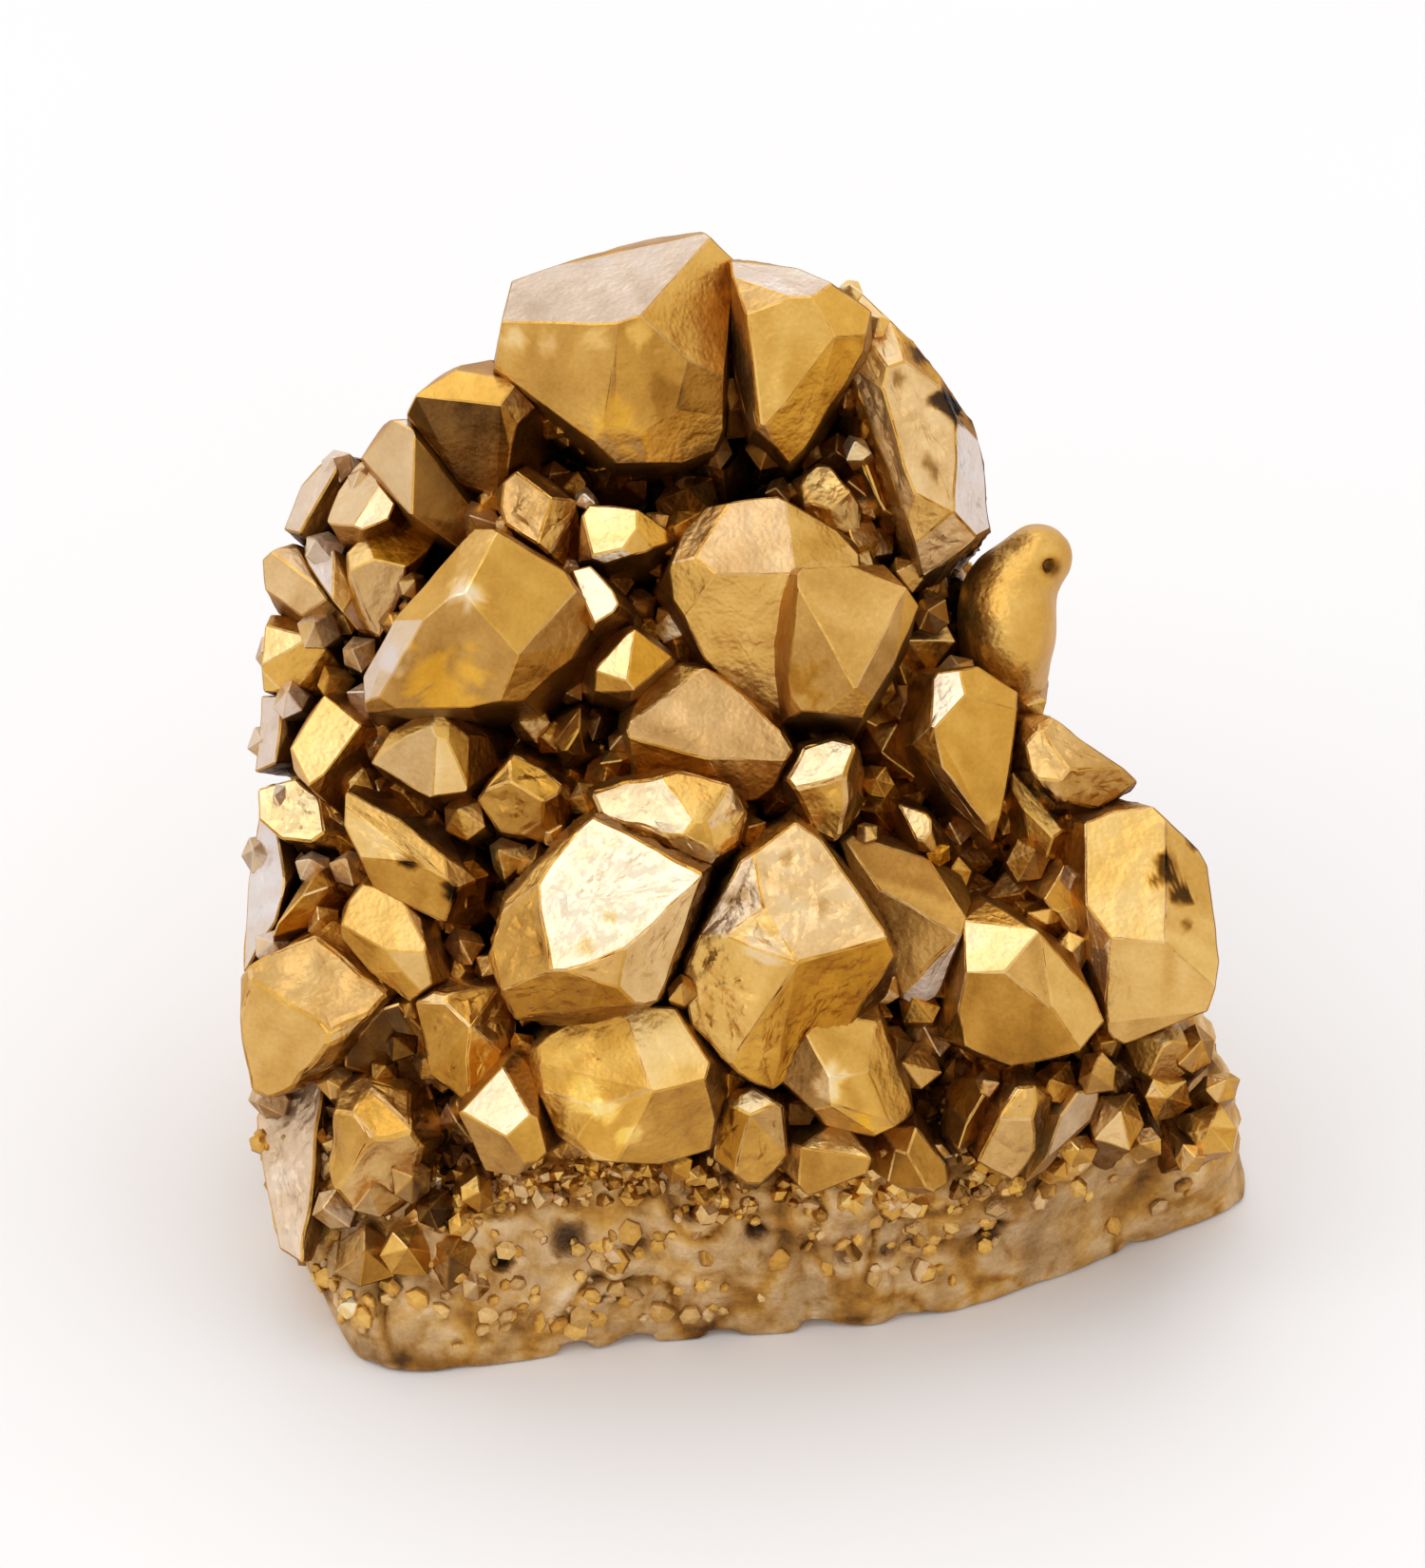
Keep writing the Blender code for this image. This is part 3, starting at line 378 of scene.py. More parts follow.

# tone: how light the coat is against the usual, partly its own colour and partly painted light and shade, bloom: -1
# amber, 0 gold, 1 silvery.
# faces: (turn, slope) of an end face, with its own tone (0 black to 1 cream) and bloom; these tones are largely
# painted light and shade, mostly high on faces turned to the key light and low on faces turned away
usualLook = dict(skin="satin", tone=0.57, bloom=0, faces={}, patches=(), nicks=(4, 0.3, 1.2))
crystalLooks = {
    "summit": dict(skin="smooth", nicks=(3, 0.3, 0.9), faces={(105, 52): (0.66, 0.75),
        (8, 44): (0.62, 0), (228, 30): (0.5, 0), (-58, 32): (0.46, 0), (-56, 50): (0.55, -0.3)},
        patches=((-19.8, 91.6, 1.3, 0.2, 0.1), (-17.4, 91, 1.2, 0.14, 0.1), (-12.8, 91.2, 1.2, 0.16, 0),
        (-8.6, 91.8, 1.4, 0.2, -0.2), (-11, 84, 2.6, 0.12, -0.7), (-15, 81, 2.6, -0.1, -0.3),
        (-6.5, 86, 2.2, -0.1, 0))),
    "summit_left": dict(skin="smooth", faces={(100, 35): (0.6, -0.4), (252, 45): (0.25, 0),
        (-10, 48): (0.55, 0)}),
    "summit_right": dict(faces={(95, 55): (0.76, 0.9), (245, 14): (0.64, 0.15),
        (-50, 50): (0.58, -0.8), (200, 45): (0.42, 0), (20, 35): (0.68, -0.2)}),
    "ridge_right": dict(skin="rough", faces={(20, 22): (0.62, 0.4), (195, 45): (0.5, 0.3),
        (75, 38): (0.72, 0.4), (-70, 45): (0.6, 0.4), (5, 55): (0.78, 1)}, patches=((17.8, 85.8, 1.5, -0.6, 0),
        (15.5, 90.5, 1.1, -0.3, 0), (13.6, 88, 0.9, -0.3, 0), (16.3, 80.5, 1, -0.25, 0))),
    "ridge_amber": dict(skin="smooth", faces={(200, 30): (0.5, -1), (20, 40): (0.4, -0.5)}),
    "shoulder_upper": dict(skin="smooth", faces={(90, 48): (0.74, 0.9), (182, 32): (0.56, 0.4),
        (-5, 36): (0.32, 0)}),
    "shoulder_white": dict(skin="smooth", faces={(128, 22): (0.9, 0.1), (128, 48): (0.72, 0.2)}),
    "shoulder": dict(skin="smooth", faces={(80, 35): (0.52, -0.9), (255, 25): (0.6, 0.4),
        (-25, 50): (0.5, -0.8)}),
    "shoulder_band": dict(faces={(150, 40): (0.76, 1), (0, 40): (0.7, 0.9)}),
    "rim_top": dict(faces={(160, 45): (0.78, 1), (-20, 40): (0.72, 0.9)}),
    "rim": dict(faces={(205, 28): (0.66, 0.5), (75, 35): (0.6, 0.3)}),
    "rim_middle": dict(faces={(150, 28): (0.8, -0.4), (-60, 40): (0.5, -0.5),
        (240, 35): (0.6, 0.2)}),
    "great_left": dict(skin="smooth", faces={(15, 25): (0.58, 0), (245, 28): (0.48, 0),
        (130, 40): (0.6, 0.1), (-20, 48): (0.36, 0), (172, 55): (0.68, 0.8)},
        patches=((-26, 61.5, 3.4, 0.16, -0.9), (-24.2, 69.2, 1.4, 0.25, 0.4), (-30.5, 63.5, 1.6, 0.1, 0.4))),
    "grained": dict(skin="rough", faces={(150, 22): (0.6, 0.5), (-10, 38): (0.5, 0.3)}),
    "bright_nub": dict(faces={(130, 22): (0.92, 0), (20, 45): (0.62, -0.9),
        (-90, 40): (0.95, 0)}),
    "blade": dict(skin="smooth", faces={(125, 20): (0.95, 0.5), (-70, 55): (0.7, 0.2)}),
    "small_pyramid": dict(skin="smooth", faces={(135, 20): (0.92, 0), (20, 26): (0.56, -0.9),
        (230, 40): (0.5, 0)}),
    "centre_back": dict(faces={(105, 18): (0.62, 0.4), (262, 30): (0.6, -0.1),
        (30, 40): (0.6, 0.1), (205, 30): (0.55, 0.1)}),
    "striped_nub": dict(skin="rough", faces={(110, 25): (0.8, 0), (-40, 40): (0.5, 0),
        (200, 40): (0.6, 0)}),
    "centre": dict(skin="smooth", faces={(35, 18): (0.64, 0.15), (205, 25): (0.54, 0.1),
        (-75, 50): (0.5, 0), (-10, 45): (0.45, 0)}, patches=((5, 61.5, 2, -0.08, -0.4),
        (0.5, 63.5, 1.6, 0.1, 0.3))),
    "middle": dict(faces={(80, 20): (0.55, 0.15), (252, 42): (0.4, 0),
        (-86, 42): (0.42, 0)}),
    "cross_nub": dict(faces={(150, 28): (0.4, 0), (-30, 35): (0.25, 0)}),
    "right_tall": dict(faces={(-35, 24): (0.52, -0.2), (128, 22): (0.95, 0.2),
        (215, 40): (0.42, 0), (40, 35): (0.55, 0)}),
    "right_block": dict(skin="rough", faces={(150, 16): (0.72, 0), (52, 45): (0.6, 0.2),
        (-40, 40): (0.45, 0)}, patches=((24.6, 53.4, 1, -0.5, 0), (26, 51.8, 1, -0.5, 0),
        (27.4, 50.4, 0.9, -0.4, 0))),
    "right_under": dict(faces={(60, 22): (0.58, 0), (220, 35): (0.45, 0)}),
    "left_square": dict(skin="smooth", faces={(105, 15): (0.8, 0), (-50, 50): (0.5, 0)}),
    "left_pyramid": dict(skin="smooth", faces={(200, 28): (0.62, 0.35), (265, 12): (0.66, 0),
        (5, 31): (0.4, 0), (120, 45): (0.6, 0.2)}),
    "rough_brown": dict(skin="rough", faces={(70, 24): (0.52, -0.3), (235, 28): (0.44, -0.2),
        (-40, 40): (0.38, 0)}),
    "long_left": dict(faces={(75, 20): (0.54, 0), (235, 30): (0.46, 0),
        (-50, 40): (0.4, 0)}, patches=((-29.3, 46.2, 1, -0.5, 0), (-25.7, 43.4, 1, -0.45, 0),
        (-27.2, 48.6, 1.2, 0.2, 0.2))),
    "left_chip": dict(skin="rough", faces={(120, 24): (0.86, -0.1), (-60, 45): (0.5, 0),
        (40, 40): (0.6, 0)}),
    "rim_pale": dict(faces={(170, 40): (0.7, 0.8), (0, 40): (0.6, 0.5)}),
    "rim_low": dict(faces={(165, 45): (0.74, 1), (10, 45): (0.64, 0.8)}),
    "amber_wedge": dict(skin="smooth", faces={(-60, 32): (0.46, -0.5), (100, 40): (0.4, -0.2)}),
    "flat_gold": dict(skin="smooth", faces={(95, 14): (0.72, 0), (0, 48): (0.5, 0),
        (230, 45): (0.5, 0)}),
    "heart_back": dict(skin="lumpy", faces={(118, 18): (0.9, 0), (15, 40): (0.7, 0),
        (-100, 35): (0.85, 0)}),
    "heart": dict(skin="rough", faces={(130, 20): (0.95, 0), (-45, 32): (0.64, 0.1),
        (165, 38): (0.45, 0), (-102, 48): (0.42, -0.5)}, patches=((-11.2, 41, 0.9, -0.3, 0),
        (-13.6, 38.6, 0.8, -0.22, 0), (-16.5, 42, 2, -0.08, 0.3))),
    "snow": dict(skin="lumpy", faces={(130, 20): (0.95, 0), (-20, 42): (0.6, 0), (-110, 35): (0.8, 0)}),
    "splinter": dict(faces={(135, 25): (0.75, 0), (-35, 35): (0.5, 0)}),
    "valley": dict(faces={(70, 20): (0.5, 0), (235, 35): (0.48, 0.1),
        (-80, 40): (0.6, 0.9)}),
    "frosted": dict(skin="rough", faces={(62, 18): (0.62, 0.35), (222, 26): (0.64, 0.15),
        (150, 22): (0.66, 0.4), (-62, 46): (0.48, -0.6)}, patches=((-0.5, 43, 1, -0.25, 0),
        (3.6, 46.5, 0.8, -0.2, 0), (2, 38.6, 2, 0.08, 0.3), (6.6, 42, 1, -0.16, 0))),
    "white_cap": dict(faces={(130, 20): (0.9, 0.2), (5, 26): (0.56, 0.1),
        (245, 27): (0.46, 0)}),
    "inner_amber": dict(skin="smooth", faces={(75, 26): (0.5, -0.6), (240, 30): (0.42, -0.4),
        (-20, 42): (0.5, -0.9)}),
    "great_right": dict(faces={(100, 12): (0.68, 0), (-100, 26): (0.56, 0.15),
        (20, 30): (0.6, 0.3), (205, 45): (0.62, 0.6)}, patches=((37, 45.2, 1.6, -0.5, 0),
        (38.4, 43.2, 1.3, -0.45, 0), (39.6, 47.5, 0.8, -0.4, 0), (38.9, 40.4, 0.8, -0.3, 0))),
    "swirl": dict(skin="lumpy", faces={(95, 12): (0.64, 0.2), (225, 32): (0.58, 0.1),
        (-60, 35): (0.55, 0)}),
    "shade": dict(faces={(-75, 35): (0.22, 0), (-15, 40): (0.3, 0)}),
    "rough_amber": dict(skin="rough", faces={(70, 26): (0.5, -0.4), (-35, 28): (0.5, -0.2),
        (205, 32): (0.44, -0.2)}),
    "kite": dict(skin="smooth", faces={(120, 18): (0.88, 0.1), (228, 50): (0.5, 0), (-85, 45): (0.3, 0),
        (5, 50): (0.45, 0)}),
    "banded": dict(faces={(62, 22): (0.8, 0), (165, 28): (0.6, -0.2), (-62, 50): (0.5, 0),
        (245, 34): (0.62, -0.1)}, patches=((-14.2, 25.4, 1.7, 0.24, -0.6), (-11.8, 24.2, 1.3, 0.3, -0.6),
        (-10, 22.4, 1.3, 0.3, -0.6), (-16.5, 23, 1.5, -0.15, -0.4))),
    "cap_nub": dict(skin="rough", faces={(100, 25): (0.8, 0), (-60, 38): (0.48, 0),
        (215, 38): (0.5, -0.4)}),
    "low_prism": dict(faces={(35, 22): (0.62, 0), (205, 42): (0.36, 0),
        (-80, 45): (0.6, -0.5), (5, 50): (0.5, 0)}, patches=((7.5, 26.6, 1.8, 0.25, 0.1),
        (10.6, 22.8, 1.6, 0.15, -0.8))),
    "rimmed": dict(faces={(85, 32): (0.8, -0.2), (-105, 26): (0.48, 0)}),
    "brown_wedge": dict(faces={(25, 28): (0.5, 0), (215, 36): (0.36, 0)}),
    "white_blade": dict(skin="smooth", faces={(132, 22): (0.95, 0), (-30, 45): (0.6, 0)}),
    "white_tip": dict(skin="rough", faces={(120, 22): (0.95, 0), (-80, 34): (0.6, 0.1),
        (10, 45): (0.5, 0)}),
    "grey_blade": dict(faces={(150, 35): (0.68, 0.9), (-40, 40): (0.55, 0.6)}),
    "bar": dict(faces={(128, 24): (0.85, -0.5), (-60, 40): (0.5, 0),
        (-140, 45): (0.5, 0)}),
    "flank": dict(skin="rough", faces={(165, 38): (0.7, 0.8), (0, 38): (0.62, 0.6)}),
    "nugget": dict(skin="lumpy", faces={(100, 25): (0.64, 0), (-78, 38): (0.55, 0), (10, 42): (0.5, 0),
        (185, 40): (0.55, 0)}),
}
crystalLooks = {name + "_crystal": dict(usualLook, **look) for name, look in crystalLooks.items()}

# mm by which a crystal is wider at its foot than at its top
footSpread = 1.5
shells = {}
for name, look in crystalLooks.items():
    shells[name] = crystalShell(cadCorners(name), skins[look["skin"]]["chamfer"])
print("crystal shells cut")

# Height of the crystals over the growth face on an even grid, and its blurred mean: what lies below the
# mean is painted with shade, its coat made darker.
shadow = dict(low=(-50.0, -8.0), high=(52.0, 108.0), pitch=0.6, blur=4.2, ground=-3.0, flat=0.04, shadedBelow=-9.0,
              clearAbove=-0.5)
gridA = np.arange(shadow["low"][0], shadow["high"][0], shadow["pitch"])
gridB = np.arange(shadow["low"][1], shadow["high"][1], shadow["pitch"])
mapA, mapB = np.meshgrid(gridA, gridB, indexing="ij")
heights = np.full(mapA.shape, shadow["ground"])
for _, planes in shells.values():
    top, bottom = np.full(mapA.shape, 99.0), np.full(mapA.shape, -99.0)
    for normal, reach in planes:
        across = faceAxes @ normal
        left = reach - float(normal @ faceOrigin) - across[0] * mapA - across[1] * mapB
        if across[2] > shadow["flat"]:
            top = np.minimum(top, left / across[2])
        elif across[2] > -shadow["flat"]:
            top = np.where(left < 0, -99.0, top)
        else:
            bottom = np.maximum(bottom, left / across[2])
    heights = np.maximum(heights, np.where(top > bottom, top, -99.0))


def blurBand(count):
    # rows of bell-shaped weights, each adding up to 1
    away = (np.arange(count)[:, None] - np.arange(count)[None]) * shadow["pitch"] / shadow["blur"]
    band = np.exp(-0.5 * away * away)
    return band / band.sum(1)[:, None]


meanHeights = blurBand(len(gridA)) @ heights @ blurBand(len(gridB)).T


def gridCell(place):
    # indices of the grid cells that face points lie in
    return tuple(np.clip(((place[:, n] - line[0]) / shadow["pitch"]).astype(int), 0, len(line) - 1)
                 for n, line in enumerate((gridA, gridB)))


def openness(facePoints, ahead=None):
    # 1 where a point stands clear of its surroundings, 0 deep between them; ahead moves the look to what it faces
    spot = facePoints if ahead is None else facePoints + ahead
    i = np.clip((spot[:, 0] - gridA[0]) / shadow["pitch"], 0, len(gridA) - 2)
    j = np.clip((spot[:, 1] - gridB[0]) / shadow["pitch"], 0, len(gridB) - 2)
    p, q = i.astype(int), j.astype(int)
    u, w = i - p, j - q
    mean = (meanHeights[p, q] * (1 - u) * (1 - w) + meanHeights[p + 1, q] * u * (1 - w)
            + meanHeights[p, q + 1] * (1 - u) * w + meanHeights[p + 1, q + 1] * u * w)
    return smooth(facePoints[:, 2] - mean, shadow["shadedBelow"], shadow["clearAbove"])


paintedLightDirection = compass(135, 25)   # painted light: facets turned this way are painted lightest, as if lit by the key light; above the face, a little up and left


# how the coat is painted: painted light gained with squareness to the key light's direction (less its usual level),
# how close a facet must face a named direction, random swing of tone and bloom, mm over which relief dies out at a
# border, sizes in mm of the drift and clouds, how far ahead a face looks, its share of painted light when closed in
# and what being open adds
coatPlan = dict(gain=0.36, level=0.75, match=0.985, toneSwing=0.06, bloomSwing=0.3, border=0.9, driftSize=2.3,
                cloud=0.05, cloudSize=6.0, ahead=4, closed=0.56, opened=0.44, bounce=0.7, ragged=0.7, raggedSize=0.9)


def faceTone(look, faceNormal):
    # tone and bloom of one facet: its own if the look names it, else painted light and shade by how squarely it
    # faces the key light's direction
    square = max(0.0, float(faceNormal @ paintedLightDirection)) - coatPlan["level"]
    found, nearest = (look["tone"] + coatPlan["gain"] * square, look["bloom"]), coatPlan["match"]
    for (turn, slope), values in look["faces"].items():
        match = float(compass(turn, slope) @ faceNormal)
        if match > nearest:
            nearest, found = match, values
    return found


def crystalSkin(name, slot, crop, work, seed, nodes=()):
    # every facet is a fan of rings, moved along its own normal by waves, streaks and grains that die out at its
    # border; then all points drift together by a small smooth field, so no edge stays ruler-straight
    upward = np.array((0.0, 0.35, 0.94)) @ faceAxes
    draw = np.random.default_rng(seed)
    fans, borders, normals, streaks, coats, blooms, faces = [], [], [], [], [], [], []
    total = 0
    for facets, look in crop:
        for corners in facets:
            normal = facetNormal(corners)
            ring, inside, quads, tips = facetFan(corners, work["step"])
            tone, bloom = faceTone(look, faceAxes @ normal)
            tone += draw.uniform(-coatPlan["toneSwing"], coatPlan["toneSwing"])
            bloom += draw.uniform(-coatPlan["bloomSwing"], coatPlan["bloomSwing"])
            across = np.cross(normal, upward) + 1e-6
            across /= np.linalg.norm(across)
            along = np.cross(across, normal)
            fans.append(ring)
            borders.append(inside)
            normals.append(np.repeat(normal[None], len(ring), 0))
            streaks.append(np.stack((ring @ along / work["streakLength"], ring @ across / work["streakWidth"],
                                     ring @ normal), 1))
            coats.append(np.full(len(ring), tone))
            blooms.append(np.full(len(ring), bloom))
            faces += (quads + total).tolist() + (tips + total).tolist()
            total += len(ring)
    points, inside, normals, coat, bloom = map(np.concatenate, (fans, borders, normals, coats, blooms))
    streak = waves(np.concatenate(streaks), 1.0, seed + 31)
    lift = work["wave"] * waves(points, work["waveSize"], seed) + work["streak"] * streak
    if work["grain"] > 0.1:
        lift += work["grain"] * (grains(points, work["grainSize"], seed) - 0.2)
    points = (points + normals * (lift * smooth(inside, 0, coatPlan["border"]))[:, None]
              + work["warp"] * fieldOf(points, coatPlan["driftSize"], seed + 50))
    facePoints = toFace(points * mm)
    facing = normals @ faceAxes.T
    # painted shade: the coat is darkened where a point lies deep below its surroundings
    clear = openness(facePoints, coatPlan["ahead"] * facing)
    coat = ((coat + work["streakTone"] * streak) * (coatPlan["closed"] + coatPlan["opened"] * clear)
            + coatPlan["cloud"] * waves(points, coatPlan["cloudSize"], seed + 90))
    # painted spots on the outward faces: the dark ones paint the shade of pits and slots that have no relief, the
    # light ones are painted glints and brighter patches of coat
    for a, b, radius, change, tint in crop[0][1]["patches"]:
        away = np.hypot(facePoints[:, 0] - a, facePoints[:, 1] - b) / radius
        fray = coatPlan["ragged"] * waves(points, coatPlan["raggedSize"], seed + 70)
        near = smooth(-away - fray, -1, -0.5) * smooth(facing[:, 2], 0.15, 0.4)
        coat = coat + change * near
        bloom = bloom + tint * near
    bloom = bloom - coatPlan["bounce"] * smooth(1 - clear, 0.1, 0.9)   # bounced light turns amber
    piece = meshPiece(name, points * mm, faces, {"coat": np.clip(coat, 0, 1), "bloom": bloom})
    return finishPiece(piece, slot, nodes)


def spreadFoot(corners, spread):
    # the foot of a crystal grows out by this much in mm while its top stays, except towards the open rim of the
    # cluster, so that neighbours run into each other
    place = toFace(corners * mm)
    outward = place[:, :2] - place[:, :2].mean(0)
    outward /= np.linalg.norm(outward, axis=1)[:, None] + 1e-6
    beyond = place[:, :2] + outward * 4
    depth = (place[:, 2].max() - place[:, 2]) / np.ptp(place[:, 2])
    share = smooth(depth, 0.05, 0.6) * smooth(meanHeights[gridCell(beyond)], 2.0, 5.0)
    place[:, :2] += outward * (spread * share)[:, None]
    return toRoom(place) / mm


for number, (name, look) in enumerate(crystalLooks.items()):
    work = skins[look["skin"]]
    facets = crystalShell(spreadFoot(cadCorners(name), footSpread), work["chamfer"], look["nicks"],
                          sum(map(ord, name)))[0]
    crystalSkin(name.replace("_crystal", "_point"), slotOf[name], [(facets, look)], work, 100 + 7 * number, [name])
print("crystals grown")

# lesser crystals between the great ones

# (a, b, height of the tip, radius, turn and slope of its lean, tone, bloom), all lengths in mm
lesserCrystals = {
    # crown fillers: their low tones are painted shade between the crown crystals; the darkest, at (-1.9, 93.5), is a
    # dark crystal set in the gap between the summit crystals
    "crown_fillers": dict(slot="dark_coat", skin="smooth", seed=301, each=(
        (-0.4, 85, 10.5, 3.2, 250, 12, 0.4, 0), (2.2, 81.9, 9.5, 1.9, 300, 10, 0.48, 0.1),
        (-1.9, 93.5, 9, 1.9, 90, 4, 0.12, 0), (-2.6, 82, 8, 1.6, 200, 10, 0.3, 0),
        (-23.5, 76.3, 11, 2, 120, 14, 0.56, 0.3), (-20.5, 80.6, 8.5, 1.3, 90, 8, 0.24, 0.3),
        (-9.5, 80.6, 7.5, 1.2, 20, 10, 0.3, 0.3), (-5, 79.6, 7, 1, 20, 10, 0.3, 0.2),
        (3.2, 78.6, 8.5, 1.3, 90, 10, 0.36, 0.4), (16.6, 67.6, 10, 1.9, 20, 12, 0.42, 0),
        (19, 62.6, 9.5, 2, 60, 10, 0.6, 0.3), (-33.8, 79.9, 8, 1.5, 130, 20, 0.6, 0.4))),
    "bright_nubs": dict(slot="gold_coat", skin="satin", seed=302, each=(
        (-14, 77.9, 13, 1, 120, 10, 0.95, 0.3), (-7.4, 76.2, 12.5, 1.1, 60, 20, 0.66, 0.1),
        (-5.4, 75, 12.5, 2.4, 60, 12, 0.56, -0.3), (-21, 46.8, 10, 1.9, 120, 14, 0.82, -0.5),
        (-24.7, 50, 10.5, 2.3, 130, 10, 0.64, -0.1), (10.6, 48.7, 12.5, 1.1, 120, 12, 0.84, 0),
        (12, 53, 12.5, 1.6, 20, 14, 0.54, -0.3), (17.4, 46.4, 12, 1.2, 340, 16, 0.6, -0.9),
        (9.4, 96, 14.5, 1.2, 60, 14, 0.9, -0.4), (11.9, 93.2, 12, 1.2, 60, 14, 0.9, -0.4),
        (9.6, 82.3, 12, 1.4, 130, 14, 0.95, 0.2), (-35.9, 6.4, 1.5, 1.1, 180, 40, 0.95, -0.2),
        (12.2, 24, 13, 1.3, 300, 24, 0.8, -0.9), (-15.2, 71.8, 13, 0.8, 90, 10, 0.9, 0.2),
        (23.6, 28.9, 11, 0.8, 270, 20, 0.75, -0.7), (21.4, 26.8, 9, 1.1, 90, 20, 0.66, 0.2),
        (5.6, 66, 12, 0.9, 90, 20, 0.7, 0))),
    "valley_fillers": dict(slot="gold_coat", skin="satin", seed=303, each=(
        (-24.6, 38.7, 9, 1.9, 110, 10, 0.6, 0.2), (-19.6, 36.2, 12.5, 2.6, 200, 12, 0.58, 0.15),
        (-24.2, 43.6, 11, 2.3, 270, 10, 0.48, -0.3), (-12.4, 58.2, 9, 1.7, 60, 8, 0.3, 0.3),
        (-17.3, 57, 9, 1.6, 150, 10, 0.52, -0.2), (-10.6, 56.6, 10, 1.5, 90, 8, 0.42, 0.2),
        (-3.6, 22.4, 12.5, 2.3, 280, 10, 0.44, 0), (-5.9, 18.6, 8.5, 1.5, 270, 20, 0.58, -0.2),
        (-4.2, 17.8, 8, 1.1, 270, 20, 0.72, -0.3), (4.4, 24.4, 11.5, 2, 180, 12, 0.28, 0),
        (13.2, 30, 10.5, 1.8, 340, 10, 0.3, 0), (-13.9, 34.2, 13.5, 2.2, 260, 12, 0.42, -0.4),
        (-2.6, 33.4, 14, 2.4, 230, 12, 0.5, -0.3), (0.6, 17.9, 8, 1.8, 270, 20, 0.42, 0),
        (25.4, 46.4, 8.8, 2.2, 60, 10, 0.5, 0.1), (29, 44.6, 9.2, 1.5, 100, 10, 0.72, 0.8),
        (29.9, 40.9, 8.8, 1.3, 100, 10, 0.66, 0.7), (20, 31.6, 10.5, 2.2, 200, 12, 0.56, -0.7),
        (27.6, 26.7, 8, 2.2, 60, 10, 0.55, -0.4), (31.2, 27.4, 8.5, 1.9, 60, 8, 0.52, 0),
        (14, 19.6, 8, 2, 280, 14, 0.5, 0.1), (17.2, 19.4, 6.5, 1.6, 300, 20, 0.56, 0.2),
        (11.6, 67.4, 9, 1.3, 20, 10, 0.4, 0), (-30.6, 30, 7.5, 1.8, 200, 10, 0.25, 0))),
    "left_rim_fillers": dict(slot="pale_coat", skin="satin", seed=304, each=(
        (-40.6, 60.4, 3.6, 2, 160, 14, 0.66, 0.8), (-38, 66.4, 4.8, 1.9, 160, 10, 0.62, 0.5),
        (-41.2, 51.4, 3, 1.8, 160, 14, 0.7, 0.8), (-41.8, 38.2, 4, 2, 170, 12, 0.66, 0.8),
        (-37.4, 73.8, 6, 2, 140, 14, 0.7, 0.9), (-34, 64.6, 6.5, 1.8, 130, 10, 0.6, 0.6),
        (-33.2, 60.4, 7, 2, 120, 12, 0.62, 0.7), (-36.3, 61.9, 5, 1.7, 120, 10, 0.54, -0.3),
        (-38.2, 45.6, 4, 1.7, 100, 10, 0.7, 0.7), (-34.9, 45.6, 6.4, 2, 110, 10, 0.62, 0.4),
        (-42.6, 24.6, 1.5, 2, 180, 16, 0.6, 0.5), (-36.2, 26.8, 5, 2, 120, 12, 0.58, 0),
        (-36.2, 81.2, 5.5, 1.6, 140, 14, 0.76, 0.9), (-31.6, 57.6, 6.4, 1.3, 100, 10, 0.4, 0.2),
        (-42.2, 64.4, 1.5, 1.8, 180, 12, 0.66, 0.6), (-42.4, 56.4, 1, 1.9, 180, 12, 0.66, 0.7),
        (-43.4, 46.4, 0.5, 1.9, 180, 12, 0.66, 0.8), (-39.6, 12.4, -4, 2.2, 190, 20, 0.66, 0.7))),
    "low_left_crystals": dict(slot="amber_coat", skin="satin", seed=305, each=(
        (-34, 10.8, 4.7, 3, 200, 12, 0.46, 0.1), (-29.7, 11, 6, 2.6, 280, 8, 0.62, -0.1),
        (-25.2, 10.6, 5.4, 2.9, 330, 8, 0.5, 0.1), (-27.2, 15, 6.2, 1.9, 300, 8, 0.3, 0),
        (-32.6, 16.4, 7.2, 2.6, 260, 10, 0.56, 0.3), (-29.2, 17.6, 8.2, 2, 300, 10, 0.5, 0.2),
        (-23.4, 16.4, 7.2, 1.7, 300, 14, 0.58, -0.2), (-23.6, 8, 3.2, 1.5, 280, 14, 0.68, 0.4),
        (-31.8, 5.6, 0.7, 2, 240, 10, 0.52, 0), (-36.6, 15, 4.2, 2, 190, 14, 0.6, 0.5),
        (-21.9, 20.6, 11.2, 1.5, 250, 10, 0.5, 0.1))),
    "toe_crystals": dict(slot="gold_coat", skin="rough", seed=306, each=(
        (33, 23.2, 6.5, 2.8, 60, 12, 0.62, 0.1), (37.6, 24.4, 6, 2.3, 300, 16, 0.52, 0),
        (41.8, 22.4, 5.4, 2.4, 40, 12, 0.64, -0.2), (42.4, 26.2, 5.4, 1.6, 60, 14, 0.6, 0),
        (29.6, 20, 5.4, 1.8, 280, 12, 0.66, -0.3), (35.4, 20.6, 5, 1.7, 280, 14, 0.6, 0.2),
        (39.6, 19.4, 4.4, 1.5, 290, 14, 0.6, 0.2), (31.8, 30, 8, 1.4, 120, 10, 0.45, 0),
        (40.2, 29.6, 5.6, 2, 60, 16, 0.55, 0))),
}

